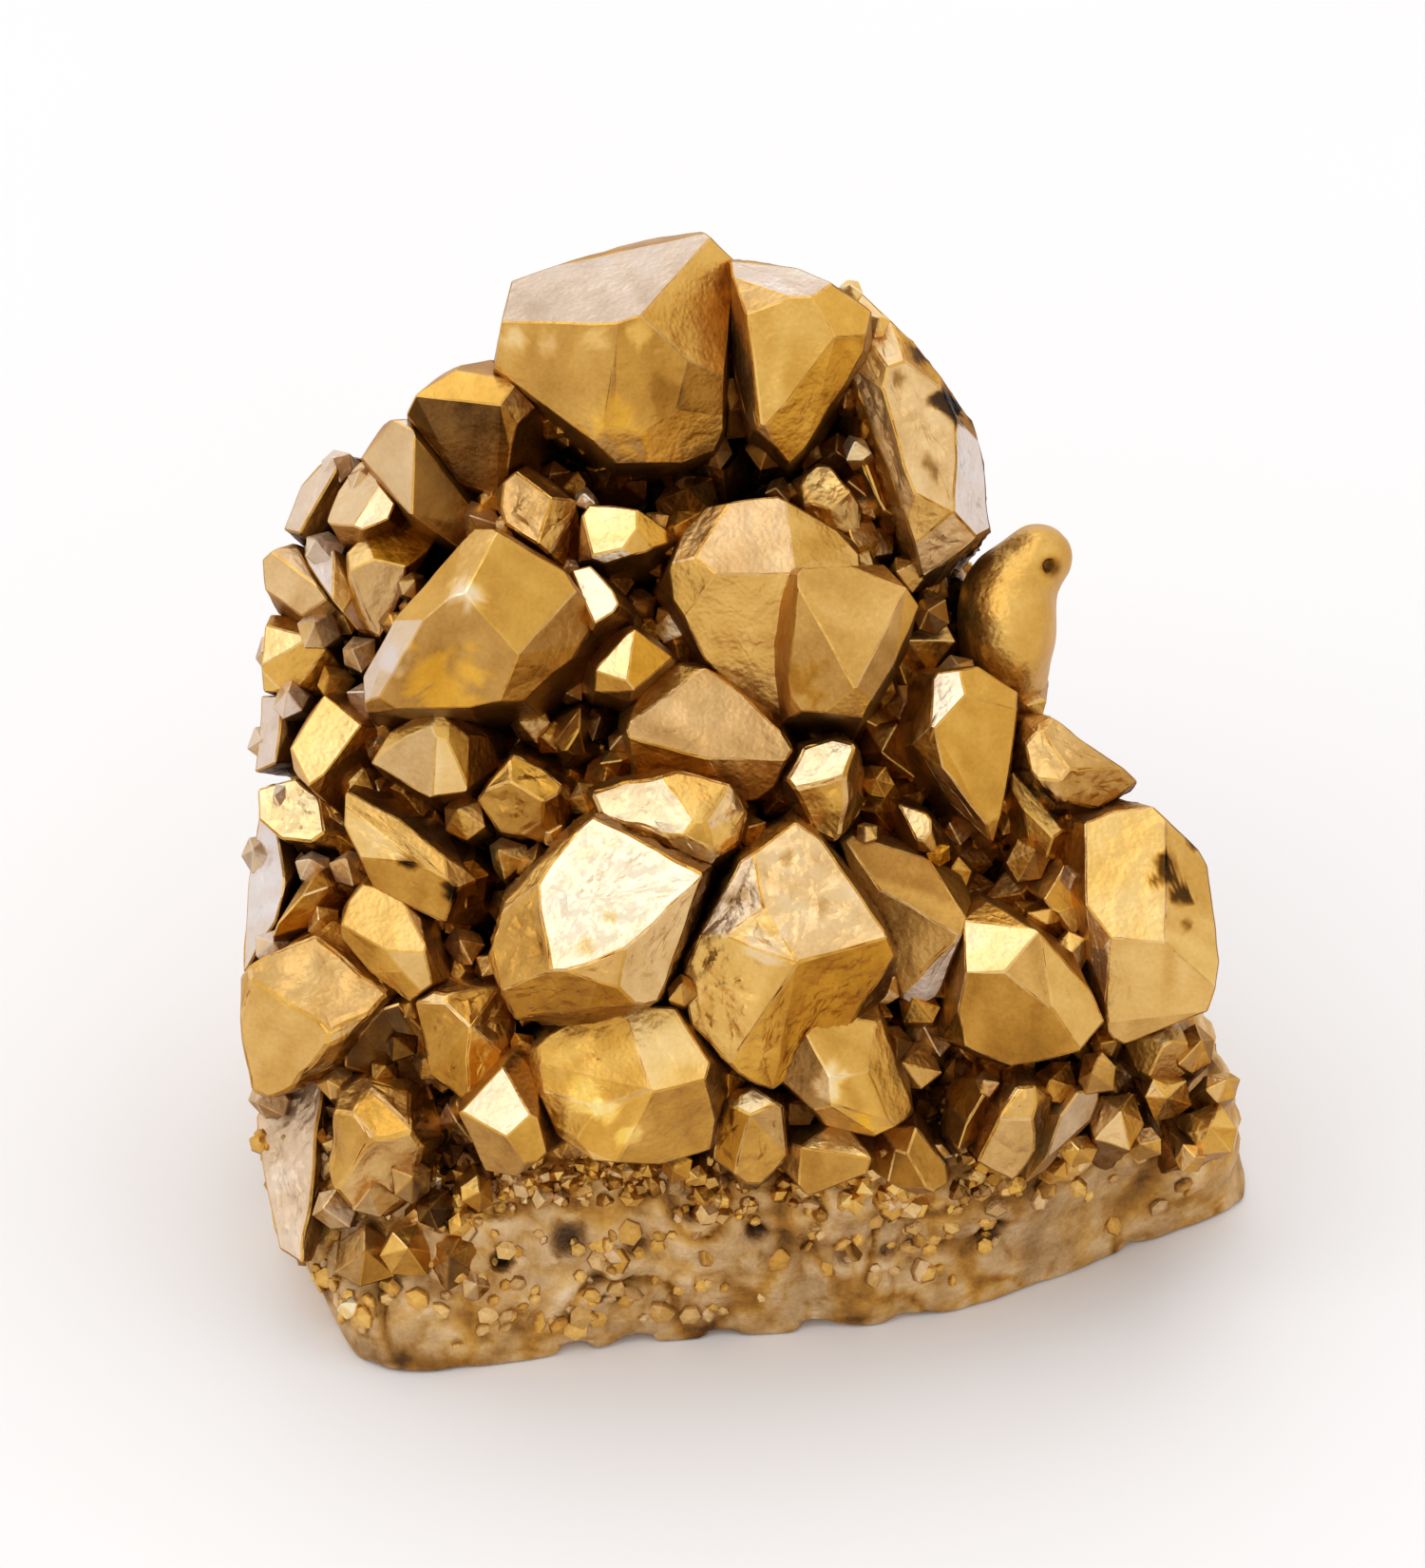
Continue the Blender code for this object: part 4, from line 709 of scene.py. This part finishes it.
# where the crevices stay empty and black: (a, b, radius)
crevices = (
    (-17.5, 82, 3.4), (-13.5, 80.4, 2.8), (-9, 79.4, 2.2), (-6, 79.2, 2), (-1, 79.2, 2), (-2, 89, 1.2),
    (-1.8, 91, 1.4), (8, 86, 1.8), (7.4, 83.5, 2), (6.6, 81.3, 1.6), (-27.5, 71.5, 1.8), (-26.4, 69.6, 2),
    (-28, 68.2, 1.6), (-25.8, 72.2, 2), (-10, 70.6, 1.8), (-8, 69, 2), (-5, 66, 2.4), (-3.4, 64, 1.8),
    (-17, 60.5, 2.3), (-14.5, 61.5, 1.6), (-15, 59, 1.6), (5.5, 58, 1.8), (8, 58, 2), (10, 57, 1.6),
    (13, 62, 2.3), (12.5, 59, 2.3), (11.5, 56, 2.2), (13, 53, 2), (15.5, 50.5, 2.2), (18.5, 48, 2),
    (21.5, 45.5, 3), (16, 64, 2), (12.5, 73.5, 1.5), (17, 32, 2), (16.5, 29, 2.4), (17, 26, 2), (17.8, 23, 1.6),
    (-23, 44, 1.8), (-22.5, 41, 2.1), (-22, 38.6, 1.8), (-23.5, 36.8, 1.4), (-26, 23, 1.6), (-26.3, 20, 1.6),
    (-25.5, 25.5, 1.5), (-22.5, 58.2, 1.8), (-25.5, 59.6, 1.4), (-22, 54.4, 1.5), (3, 52.5, 1.6),
    (2.6, 50.4, 1.3), (-18, 31.5, 1.5), (-34.6, 62.2, 1.1), (-36.6, 66.2, 1.3))


rockMesh = frame["nodes"]["host_rock"].data
rockTree = BVHTree.FromPolygons([vertex.co / mm for vertex in rockMesh.vertices],
                                [tuple(face.vertices) for face in rockMesh.polygons])


def groundUnder(a, b):
    # height of the rock under this spot of the growth face, or None beside it
    start, down = toRoom(np.array((a, b, 60.0))) / mm, -compass(0, 0) @ faceAxes
    hit = rockTree.ray_cast(Vector(start), Vector(down))[0]
    return None if hit is None else float(toFace(np.array(hit) * mm)[2])


# mm from tip to foot beside the rock, depth of the foot in the rock, and least length
footPlan = dict(beside=4.5, sunk=1.5, shortest=2)


def pointCorners(a, b, tip, radius, turn, slope, draw):
    # a six-sided prism along a leaning axis, its corners uneven, closed by a skewed point; its foot is in the rock
    axis = compass(turn, slope)
    ground = groundUnder(a, b)
    foot = tip - footPlan["beside"]   # beside the rock it sits on its neighbours
    if ground is not None:
        foot = min(ground - footPlan["sunk"], tip - footPlan["shortest"])
    side = np.cross(axis, (0.3, 1.0, 0.1))
    side /= np.linalg.norm(side)
    angles = np.radians(draw.uniform(0, 60) + np.arange(6) * 60 + draw.uniform(-12, 12, 6))
    ring = np.cos(angles)[:, None] * side + np.sin(angles)[:, None] * np.cross(axis, side)
    ring = ring * radius * draw.uniform(0.85, 1.12, (6, 1))
    peak = np.array((a, b, tip)) + compass(draw.uniform(60, 200), 90) * radius * 0.3
    shoulder = np.array((a, b, tip)) + ring - axis * radius * draw.uniform(0.45, 1.25, (6, 1))
    base = shoulder - axis * (tip - foot)
    return toRoom(np.concatenate((peak[None], shoulder, base))) / mm


for name, crop in lesserCrystals.items():
    draw = np.random.default_rng(crop["seed"])
    work = dict(skins[crop["skin"]], chamfer=0.16, step=0.85)
    grown = []
    for a, b, tip, radius, turn, slope, tone, bloom in crop["each"]:
        corners = pointCorners(a, b, tip, radius, turn, slope, draw)
        grown.append((crystalShell(corners, work["chamfer"])[0], dict(usualLook, tone=tone, bloom=bloom)))
    crystalSkin(name, crop["slot"], grown, work, crop["seed"])

# what is left between them fills with modest crystals, drawn one after another so that none crowds another
# covered: height in mm at which a spot counts as taken; lowest: least mean height; apart from: (a, b, radius)
fillerPlan = dict(seed=77, tries=5000, radius=(1.3, 3.4), below=(-1.6, 1.6), tone=(0.42, 0.72), bloom=(-0.4, 0.25),
                  covered=4.5, lowest=4.0, apartFrom=(-25, 90, 8.5), creviceShare=0.62, room=0.1, gap=0.25,
                  deepest=-4, chamfer=0.16, share=0.8)
draw = np.random.default_rng(fillerPlan["seed"])
taken = [(a, b, radius) for crop in lesserCrystals.values() for a, b, _, radius, *_ in crop["each"]]
kept = [(p, q, fillerPlan["creviceShare"] * r) for p, q, r in crevices]
covered = np.stack((mapA[heights > fillerPlan["covered"]], mapB[heights > fillerPlan["covered"]]), 1)
grown = []
for a, b in draw.uniform((-42, 20), (40, 96), (fillerPlan["tries"], 2)):
    i, j = int((a - gridA[0]) / shadow["pitch"]), int((b - gridB[0]) / shadow["pitch"])
    awayA, awayB, reach = fillerPlan["apartFrom"]
    if (heights[i, j] > fillerPlan["covered"] or meanHeights[i, j] < fillerPlan["lowest"]
            or np.hypot(a - awayA, b - awayB) < reach):
        continue
    gap = np.hypot(covered[:, 0] - a, covered[:, 1] - b).min()
    near = min(np.hypot(a - p, b - q) - r for p, q, r in taken + kept)
    ground = groundUnder(a, b)
    if near < fillerPlan["room"] or gap < fillerPlan["gap"] or ground is None or ground < fillerPlan["deepest"]:
        continue
    radius = float(np.clip(gap + 1.0, *fillerPlan["radius"]))
    tip = meanHeights[i, j] - draw.uniform(*fillerPlan["below"])
    corners = pointCorners(a, b, tip, radius, draw.uniform(0, 360), draw.uniform(2, 20), draw)
    grown.append((crystalShell(corners, fillerPlan["chamfer"])[0], dict(
        usualLook, tone=draw.uniform(*fillerPlan["tone"]), bloom=draw.uniform(*fillerPlan["bloom"]))))
    taken.append((a, b, radius * fillerPlan["share"]))
crystalSkin("gap_fillers", "gold_coat", grown, dict(skins["smooth"], step=1.2), 400)
print("lesser crystals grown, fillers:", len(grown))

# rounded growth

lobeLook = dict(tone=0.62, bloom=-0.05, wave=0.12, waveSize=2.6, pit=(27, 71.9), pitRadius=1.3)


def dividedSolid(name, rounds, finer=None):
    # a CAD shell that no grid can follow, merged, divided evenly and eased; gives its mesh in mm
    shell = bmesh.new()
    shell.from_mesh(frame["nodes"][name].data)
    bmesh.ops.scale(shell, vec=(1 / mm,) * 3, verts=shell.verts)
    bmesh.ops.remove_doubles(shell, verts=shell.verts, dist=0.002)
    for cuts, eases in rounds:
        if cuts:
            bmesh.ops.subdivide_edges(shell, edges=shell.edges[:], cuts=cuts, use_grid_fill=True)
        for _ in range(eases):
            bmesh.ops.smooth_vert(shell, verts=shell.verts, factor=0.5, use_axis_x=True, use_axis_y=True,
                                  use_axis_z=True)
    if finer:
        shell.normal_update()
        bmesh.ops.subdivide_edges(shell, edges=[edge for edge in shell.edges if finer(edge)], cuts=1,
                                  use_grid_fill=True)
    bmesh.ops.triangulate(shell, faces=[face for face in shell.faces if len(face.verts) > 4])
    mesh = bpy.data.meshes.new(name + "_divided")
    shell.to_mesh(mesh)
    shell.free()
    points = np.zeros(len(mesh.vertices) * 3)
    normals = np.zeros(len(mesh.vertices) * 3, np.float32)
    mesh.vertices.foreach_get("co", points)
    mesh.vertex_normals.foreach_get("vector", normals)
    faces = [list(face.vertices) for face in mesh.polygons]
    bpy.data.meshes.remove(mesh)
    return points.reshape(-1, 3), normals.reshape(-1, 3).astype(float), faces


points, normals, faces = dividedSolid("rounded_growth", ((1, 3), (1, 2)))
place = toFace(points * mm)
# painted shade: a dark spot is painted at the pit, which has no relief of its own
paintedPitShade = smooth(-np.linalg.norm(place[:, :2] - lobeLook["pit"], axis=1) / lobeLook["pitRadius"], -1, 0)
points = points + normals * (lobeLook["wave"] * waves(points, lobeLook["waveSize"], 5))[:, None]
# painted light: the lobe's coat is also lighter where it faces the key light's direction
finishPiece(meshPiece("rounded_lobe", points * mm, faces, {
    "coat": lobeLook["tone"] - 0.5 * paintedPitShade + 0.1 * (normals @ (paintedLightDirection @ faceAxes)) - 0.1,
    "bloom": np.full(len(points), lobeLook["bloom"])}, creaseAngle=50, weld=0), "gold_coat", ["rounded_growth"])
print("rounded growth made")

# host rock

# wallTop: how high up the face the bare front wall reaches, at each a; holes: (a, b, radius, depth)
rockLook = dict(
    wallTop=((-46, 26), (-36, 21), (-27, 17), (-20, 20), (-8, 20.5), (0, 18), (10, 19), (20, 20), (27, 21),
        (33, 28), (46, 28)),
    holes=((-21.4, 10.5, 1.3, 2.2), (-15.5, 12.5, 2.4, 1.2), (-6, 20.3, 0.9, 1.5), (1.2, 13, 1.2, 1.6),
        (5.9, 17.9, 1.2, 2.4), (22.5, 12.7, 2, 1), (29.5, 21.8, 1.1, 1.6), (-13, 8.5, 1.4, 0.8),
        (9, 10.5, 1.2, 0.9), (13, 10.8, 1.2, 0.8), (-9.5, 11.5, 1.5, 0.8), (-4.5, 15, 1.3, 0.9),
        (-23, 3.5, 0.8, 0.7)),
    swell=0.7, swellSize=6, rough=0.3, roughSize=2.4, grain=0.22, grainSize=1.5, coarse=0.7, coarseSize=4.2,
    groove=0.5, grooveSize=4.4, fineGroove=0.22, fineGrooveSize=2, apron=1.3, wallTone=0.63, wallBloom=0.5,
    paintedCreviceShade=0.16)


def onFront(edge):
    # whether the edge lies low on the front wall
    middle = (edge.verts[0].co + edge.verts[1].co) / 2
    return middle.y < -18 and middle.z < 32


points, normals, faces = dividedSolid("host_rock", ((3, 3),), onFront)
place = toFace(points * mm)
outward = normals @ faceAxes.T
top = np.interp(place[:, 0], *zip(*rockLook["wallTop"]))
onWall = smooth(top - place[:, 1], -1.5, 2.0)
grounded = smooth(points[:, 2], 0.3, 7.0)
apron = (smooth(place[:, 1], top - 9, top - 3) * smooth(-place[:, 1], -top - 3, -top + 1)
         * smooth(outward[:, 2], 0.2, 0.6))
lift = (rockLook["swell"] * waves(points, rockLook["swellSize"], 1)
        + rockLook["rough"] * waves(points, rockLook["roughSize"], 2)
        + rockLook["grain"] * (grains(points, rockLook["grainSize"], 3) - 0.3)
        + rockLook["coarse"] * (grains(points, rockLook["coarseSize"], 9) - 0.4) + rockLook["apron"] * apron)
# narrow grooves run where a wave field crosses zero
groove = np.exp(-(waves(points, rockLook["grooveSize"], 21) / 0.16) ** 2)
fineGroove = np.exp(-(waves(points, rockLook["fineGrooveSize"], 22) / 0.2) ** 2)
lift -= rockLook["groove"] * groove + rockLook["fineGroove"] * fineGroove
hollow = np.zeros(len(points))
for a, b, radius, depth in rockLook["holes"]:
    near = smooth(-np.hypot(place[:, 0] - a, place[:, 1] - b) / radius, -1, -0.2) * (outward[:, 2] > 0.1)
    lift -= depth * near
    hollow = np.maximum(hollow, near * min(1, depth / 1.6))
points = points + normals * (lift * grounded)[:, None]
points[:, 2] = np.maximum(points[:, 2], 0)
place = toFace(points * mm)
relief = grains(points, rockLook["coarseSize"], 9) - 0.4 + 0.6 * (grains(points, rockLook["grainSize"], 3) - 0.3)
# what relief, hollows, clouds, grooves and fine grooves add to the tone, and clouds and grooves to the bloom;
# the darkening in the holes and grooves is painted shade, and the relief's darker low grains are partly painted
# shade, partly the rock's own grain
toneShift = dict(relief=0.16, hollow=0.5, cloud=0.05, cloudSize=9.0, groove=0.2, fineGroove=0.1)
bloomShift = dict(groove=0.6, fineGroove=0.3, cloud=0.15, cloudSize=8.0)
wallTone = (rockLook["wallTone"] + toneShift["relief"] * relief - toneShift["hollow"] * hollow
            + toneShift["cloud"] * waves(points, toneShift["cloudSize"], 4) - toneShift["groove"] * groove
            - toneShift["fineGroove"] * fineGroove)
wallBloom = (rockLook["wallBloom"] - bloomShift["groove"] * groove - bloomShift["fineGroove"] * fineGroove
             + bloomShift["cloud"] * waves(points, bloomShift["cloudSize"], 14))
# painted shade: the rock's growth face between the crystals is painted dark, darker still where it lies deep
paintedCreviceShade = rockLook["paintedCreviceShade"] * (0.4 + openness(place))
bare = np.maximum(onWall, smooth(0.5 - outward[:, 2], 0, 0.35))
rockTone = paintedCreviceShade * (1 - bare) + wallTone * bare
rockPiece = meshPiece("sugary_rock", points * mm, faces,
                      {"coat": np.clip(rockTone, 0, 1), "bloom": wallBloom * bare}, creaseAngle=60, weld=0)
finishPiece(rockPiece, "rock_grain", ["host_rock"])
rockPoints, rockNormals, rockPlace = points, normals, place
print("rock made:", len(faces), "faces")

# small points

hexTurns = np.radians(np.arange(6) * 60)


def smallPoints(name, slot, feet, axes, radii, lengths, tones, blooms, draw):
    # each is a six-sided profile carried along its axis: rim at the foot, shoulder near the top, then one tip;
    # the whole crop is one array of (points, 13, 3)
    count = len(feet)
    axes = axes / np.linalg.norm(axes, axis=1)[:, None]
    side = np.cross(axes, draw.normal(size=(count, 3)))
    side /= np.linalg.norm(side, axis=1)[:, None]
    other = np.cross(axes, side)
    uneven = 1 + draw.uniform(-0.16, 0.16, (count, 6))
    ring = np.cos(hexTurns)[None, :, None] * side[:, None] + np.sin(hexTurns)[None, :, None] * other[:, None]
    ring = ring * uneven[..., None] * radii[:, None, None]
    shoulder = lengths[:, None] * draw.uniform(0.35, 0.62, (count, 6))
    foot = feet[:, None] + ring - axes[:, None] * 0.5 * lengths[:, None, None]
    upper = feet[:, None] + ring * 0.94 + axes[:, None] * shoulder[..., None]
    tip = feet + axes * lengths[:, None] + ring[:, 0] * draw.uniform(-0.25, 0.25, (count, 1))
    points = np.concatenate((foot, upper, tip[:, None]), 1).reshape(-1, 3)
    start = (np.arange(count) * 13)[:, None]
    k = np.arange(6)
    quads = np.stack((k, (k + 1) % 6, 6 + (k + 1) % 6, 6 + k), -1)[None] + start[:, :, None]
    tips = np.stack((6 + k, 6 + (k + 1) % 6, np.full(6, 12)), -1)[None] + start[:, :, None]
    bases = k[::-1][None] + start
    faces = quads.reshape(-1, 4).tolist() + tips.reshape(-1, 3).tolist() + bases.tolist()
    # painted shade: each point's coat darkens towards its foot, from the tip down
    level = np.concatenate((np.full(6, 0.55), np.full(6, 0.95), [1.1]))
    coat = (tones[:, None] * level[None]).ravel()
    piece = meshPiece(name, points * mm, faces, {"coat": np.clip(coat, 0, 1), "bloom": np.repeat(blooms, 13)},
                      weld=0)
    return finishPiece(piece, slot)


heightHere = heights[gridCell(rockPlace)]
exposed = heightHere < rockPlace[:, 2] + 1.5
wallTopHere = np.interp(rockPlace[:, 0], *zip(*rockLook["wallTop"]))
faceUp = (rockNormals @ faceAxes.T)[:, 2]

# crops of small points: where on the rock they may stand, how many, their radius and length in mm, and coat
rockA, rockB, rockZ = rockPlace[:, 0], rockPlace[:, 1], rockPoints[:, 2]
crops = {
    # crevice druse: its low tones paint the crevices dark, as painted shade
    "crevice_druse": dict(
        slot="dark_coat", where=exposed & (faceUp > 0.45) & (rockB > wallTopHere + 1), count=900,
        radius=(0.45, 1.25), length=(1.0, 3.4), tone=(0.06, 0.3), bloom=(-0.1, 0.3), seed=11),
    "wall_top_druse": dict(
        slot="gold_coat", where=exposed & (np.abs(rockB - wallTopHere + 1.5) < 3) & (faceUp > 0.2), count=260,
        radius=(0.4, 1.2), length=(0.6, 1.8), tone=(0.35, 0.75), bloom=(-0.4, 0.4), seed=12),
    "wall_druse": dict(
        slot="rock_grain", where=(rockB < wallTopHere - 2) & (rockZ > 2.5) & (faceUp > 0.2), count=240,
        radius=(0.5, 1.3), length=(0.3, 0.7), tone=(0.5, 0.7), bloom=(-0.4, 0.5), seed=13),
    "toe_druse": dict(
        slot="gold_coat", where=exposed & (rockA > 27) & (rockB > 18) & (rockB < 29) & (faceUp > 0.3), count=150,
        radius=(0.6, 1.6), length=(0.7, 1.9), tone=(0.45, 0.8), bloom=(-0.4, 0.3), seed=14),
    "side_druse": dict(
        slot="rock_grain", where=(faceUp < 0.2) & (rockZ > 4), count=260,
        radius=(0.6, 2.0), length=(0.6, 2.4), tone=(0.35, 0.65), bloom=(-0.2, 0.4), seed=15)}
for name, crop in crops.items():
    draw = np.random.default_rng(crop["seed"])
    picked = draw.choice(np.flatnonzero(crop["where"]), crop["count"])
    axes = rockNormals[picked] + draw.normal(0, 0.38, (crop["count"], 3))
    size = draw.uniform(0, 1, crop["count"]) ** 2
    low, high = crop["radius"]
    radii = low + (high - low) * size
    low, high = crop["length"]
    lengths = low + (high - low) * size * draw.uniform(0.6, 1, crop["count"])
    smallPoints(name, crop["slot"], rockPoints[picked], axes, radii, lengths,
                draw.uniform(*crop["tone"], crop["count"]), draw.uniform(*crop["bloom"], crop["count"]), draw)
print("small points grown")

# camera, floor and light

# The camera looks square at the growth face; its picture plane is the plane c = 10
cameraPlan = dict(middle=(-2.75, 52.75, 10.0), distance=800.0, height=137.5, sensor=36.0)
camera = bpy.data.objects.new("camera", bpy.data.cameras.new("camera"))
bpy.context.scene.collection.objects.link(camera)
camera.data.sensor_width = cameraPlan["sensor"]
camera.data.lens = cameraPlan["sensor"] * cameraPlan["distance"] / cameraPlan["height"]
camera.data.clip_start, camera.data.clip_end = 0.05, 20
camera.location = Vector(toRoom(np.array(cameraPlan["middle"]) + (0, 0, cameraPlan["distance"])))
camera.rotation_euler = (math.radians(90 - growthFace["lean"]), 0, 0)
bpy.context.scene.camera = camera

floorPlan = dict(half=3.0, cells=12, roughness=0.6)
edge = np.linspace(-floorPlan["half"], floorPlan["half"], floorPlan["cells"] + 1)
floorX, floorY = np.meshgrid(edge, edge, indexing="ij")
floorPoints = np.stack((floorX.ravel(), floorY.ravel(), np.full(floorX.size, -0.0002)), 1)
row = floorPlan["cells"] + 1
corner = (np.arange(floorPlan["cells"])[:, None] * row + np.arange(floorPlan["cells"])).ravel()
floorMesh = bpy.data.meshes.new("floor")
floorMesh.from_pydata(floorPoints, [], np.stack((corner, corner + row, corner + row + 1, corner + 1), 1).tolist())
floor = bpy.data.objects.new("floor", floorMesh)
bpy.context.scene.collection.objects.link(floor)
# sheet with matt off-white paint, rolled on: rough, with slow faint clouds
floorPaint = bpy.data.materials.new("matPaintedFloor")
floorPaint.use_nodes = True
floorTree = floorPaint.node_tree
floorTree.nodes.clear()
floorCloud = node(floorTree, "TexNoise", {"Scale": 6.0, "Detail": 2.0},
                  {"Vector": node(floorTree, "TexCoord").outputs["Object"]}).outputs["Fac"]
floorColour = node(floorTree, "ValToRGB", links={"Fac": floorCloud},
                   stops=((0.3, "#F0EEEB"), (0.7, "#F3F1EE"))).outputs["Color"]
floorShader = node(floorTree, "BsdfPrincipled", {"Roughness": floorPlan["roughness"]},
                   {"Base Color": floorColour}).outputs[0]
node(floorTree, "OutputMaterial", links={"Surface": floorShader})
floorMesh.materials.append(floorPaint)

# Soft boxes: where each stands from the object, its size and distance in metres, and how bright its face is
softBoxes = {
    "keyBox": dict(towards=(-0.41, -0.35, 0.84), size=(0.34, 0.34), distance=0.6, radiance=1.3, colour="#FFFBF4"),
    "topBox": dict(towards=(0.1, 0.35, 0.93), size=(0.7, 0.5), distance=0.9, radiance=0.8, colour="#FFFFFF"),
}
aim = Vector((0, 0, 0.045))
for name, box in softBoxes.items():
    lamp = bpy.data.lights.new(name, "AREA")
    lamp.shape = "RECTANGLE"
    lamp.size, lamp.size_y = box["size"]
    lamp.energy = box["radiance"] * math.pi * box["size"][0] * box["size"][1]
    lamp.color = linear(box["colour"])[:3]
    holder = bpy.data.objects.new(name, lamp)
    bpy.context.scene.collection.objects.link(holder)
    towards = Vector(box["towards"]).normalized()
    holder.location = aim + towards * box["distance"]
    holder.rotation_euler = towards.to_track_quat("Z", "Y").to_euler()

world = bpy.data.worlds.new("studio")
bpy.context.scene.world = world
world.use_nodes = True
world.node_tree.nodes["Background"].inputs["Color"].default_value = linear("#FBFBFF")
world.node_tree.nodes["Background"].inputs["Strength"].default_value = 1.03
bpy.context.scene.view_settings.view_transform = "Standard"
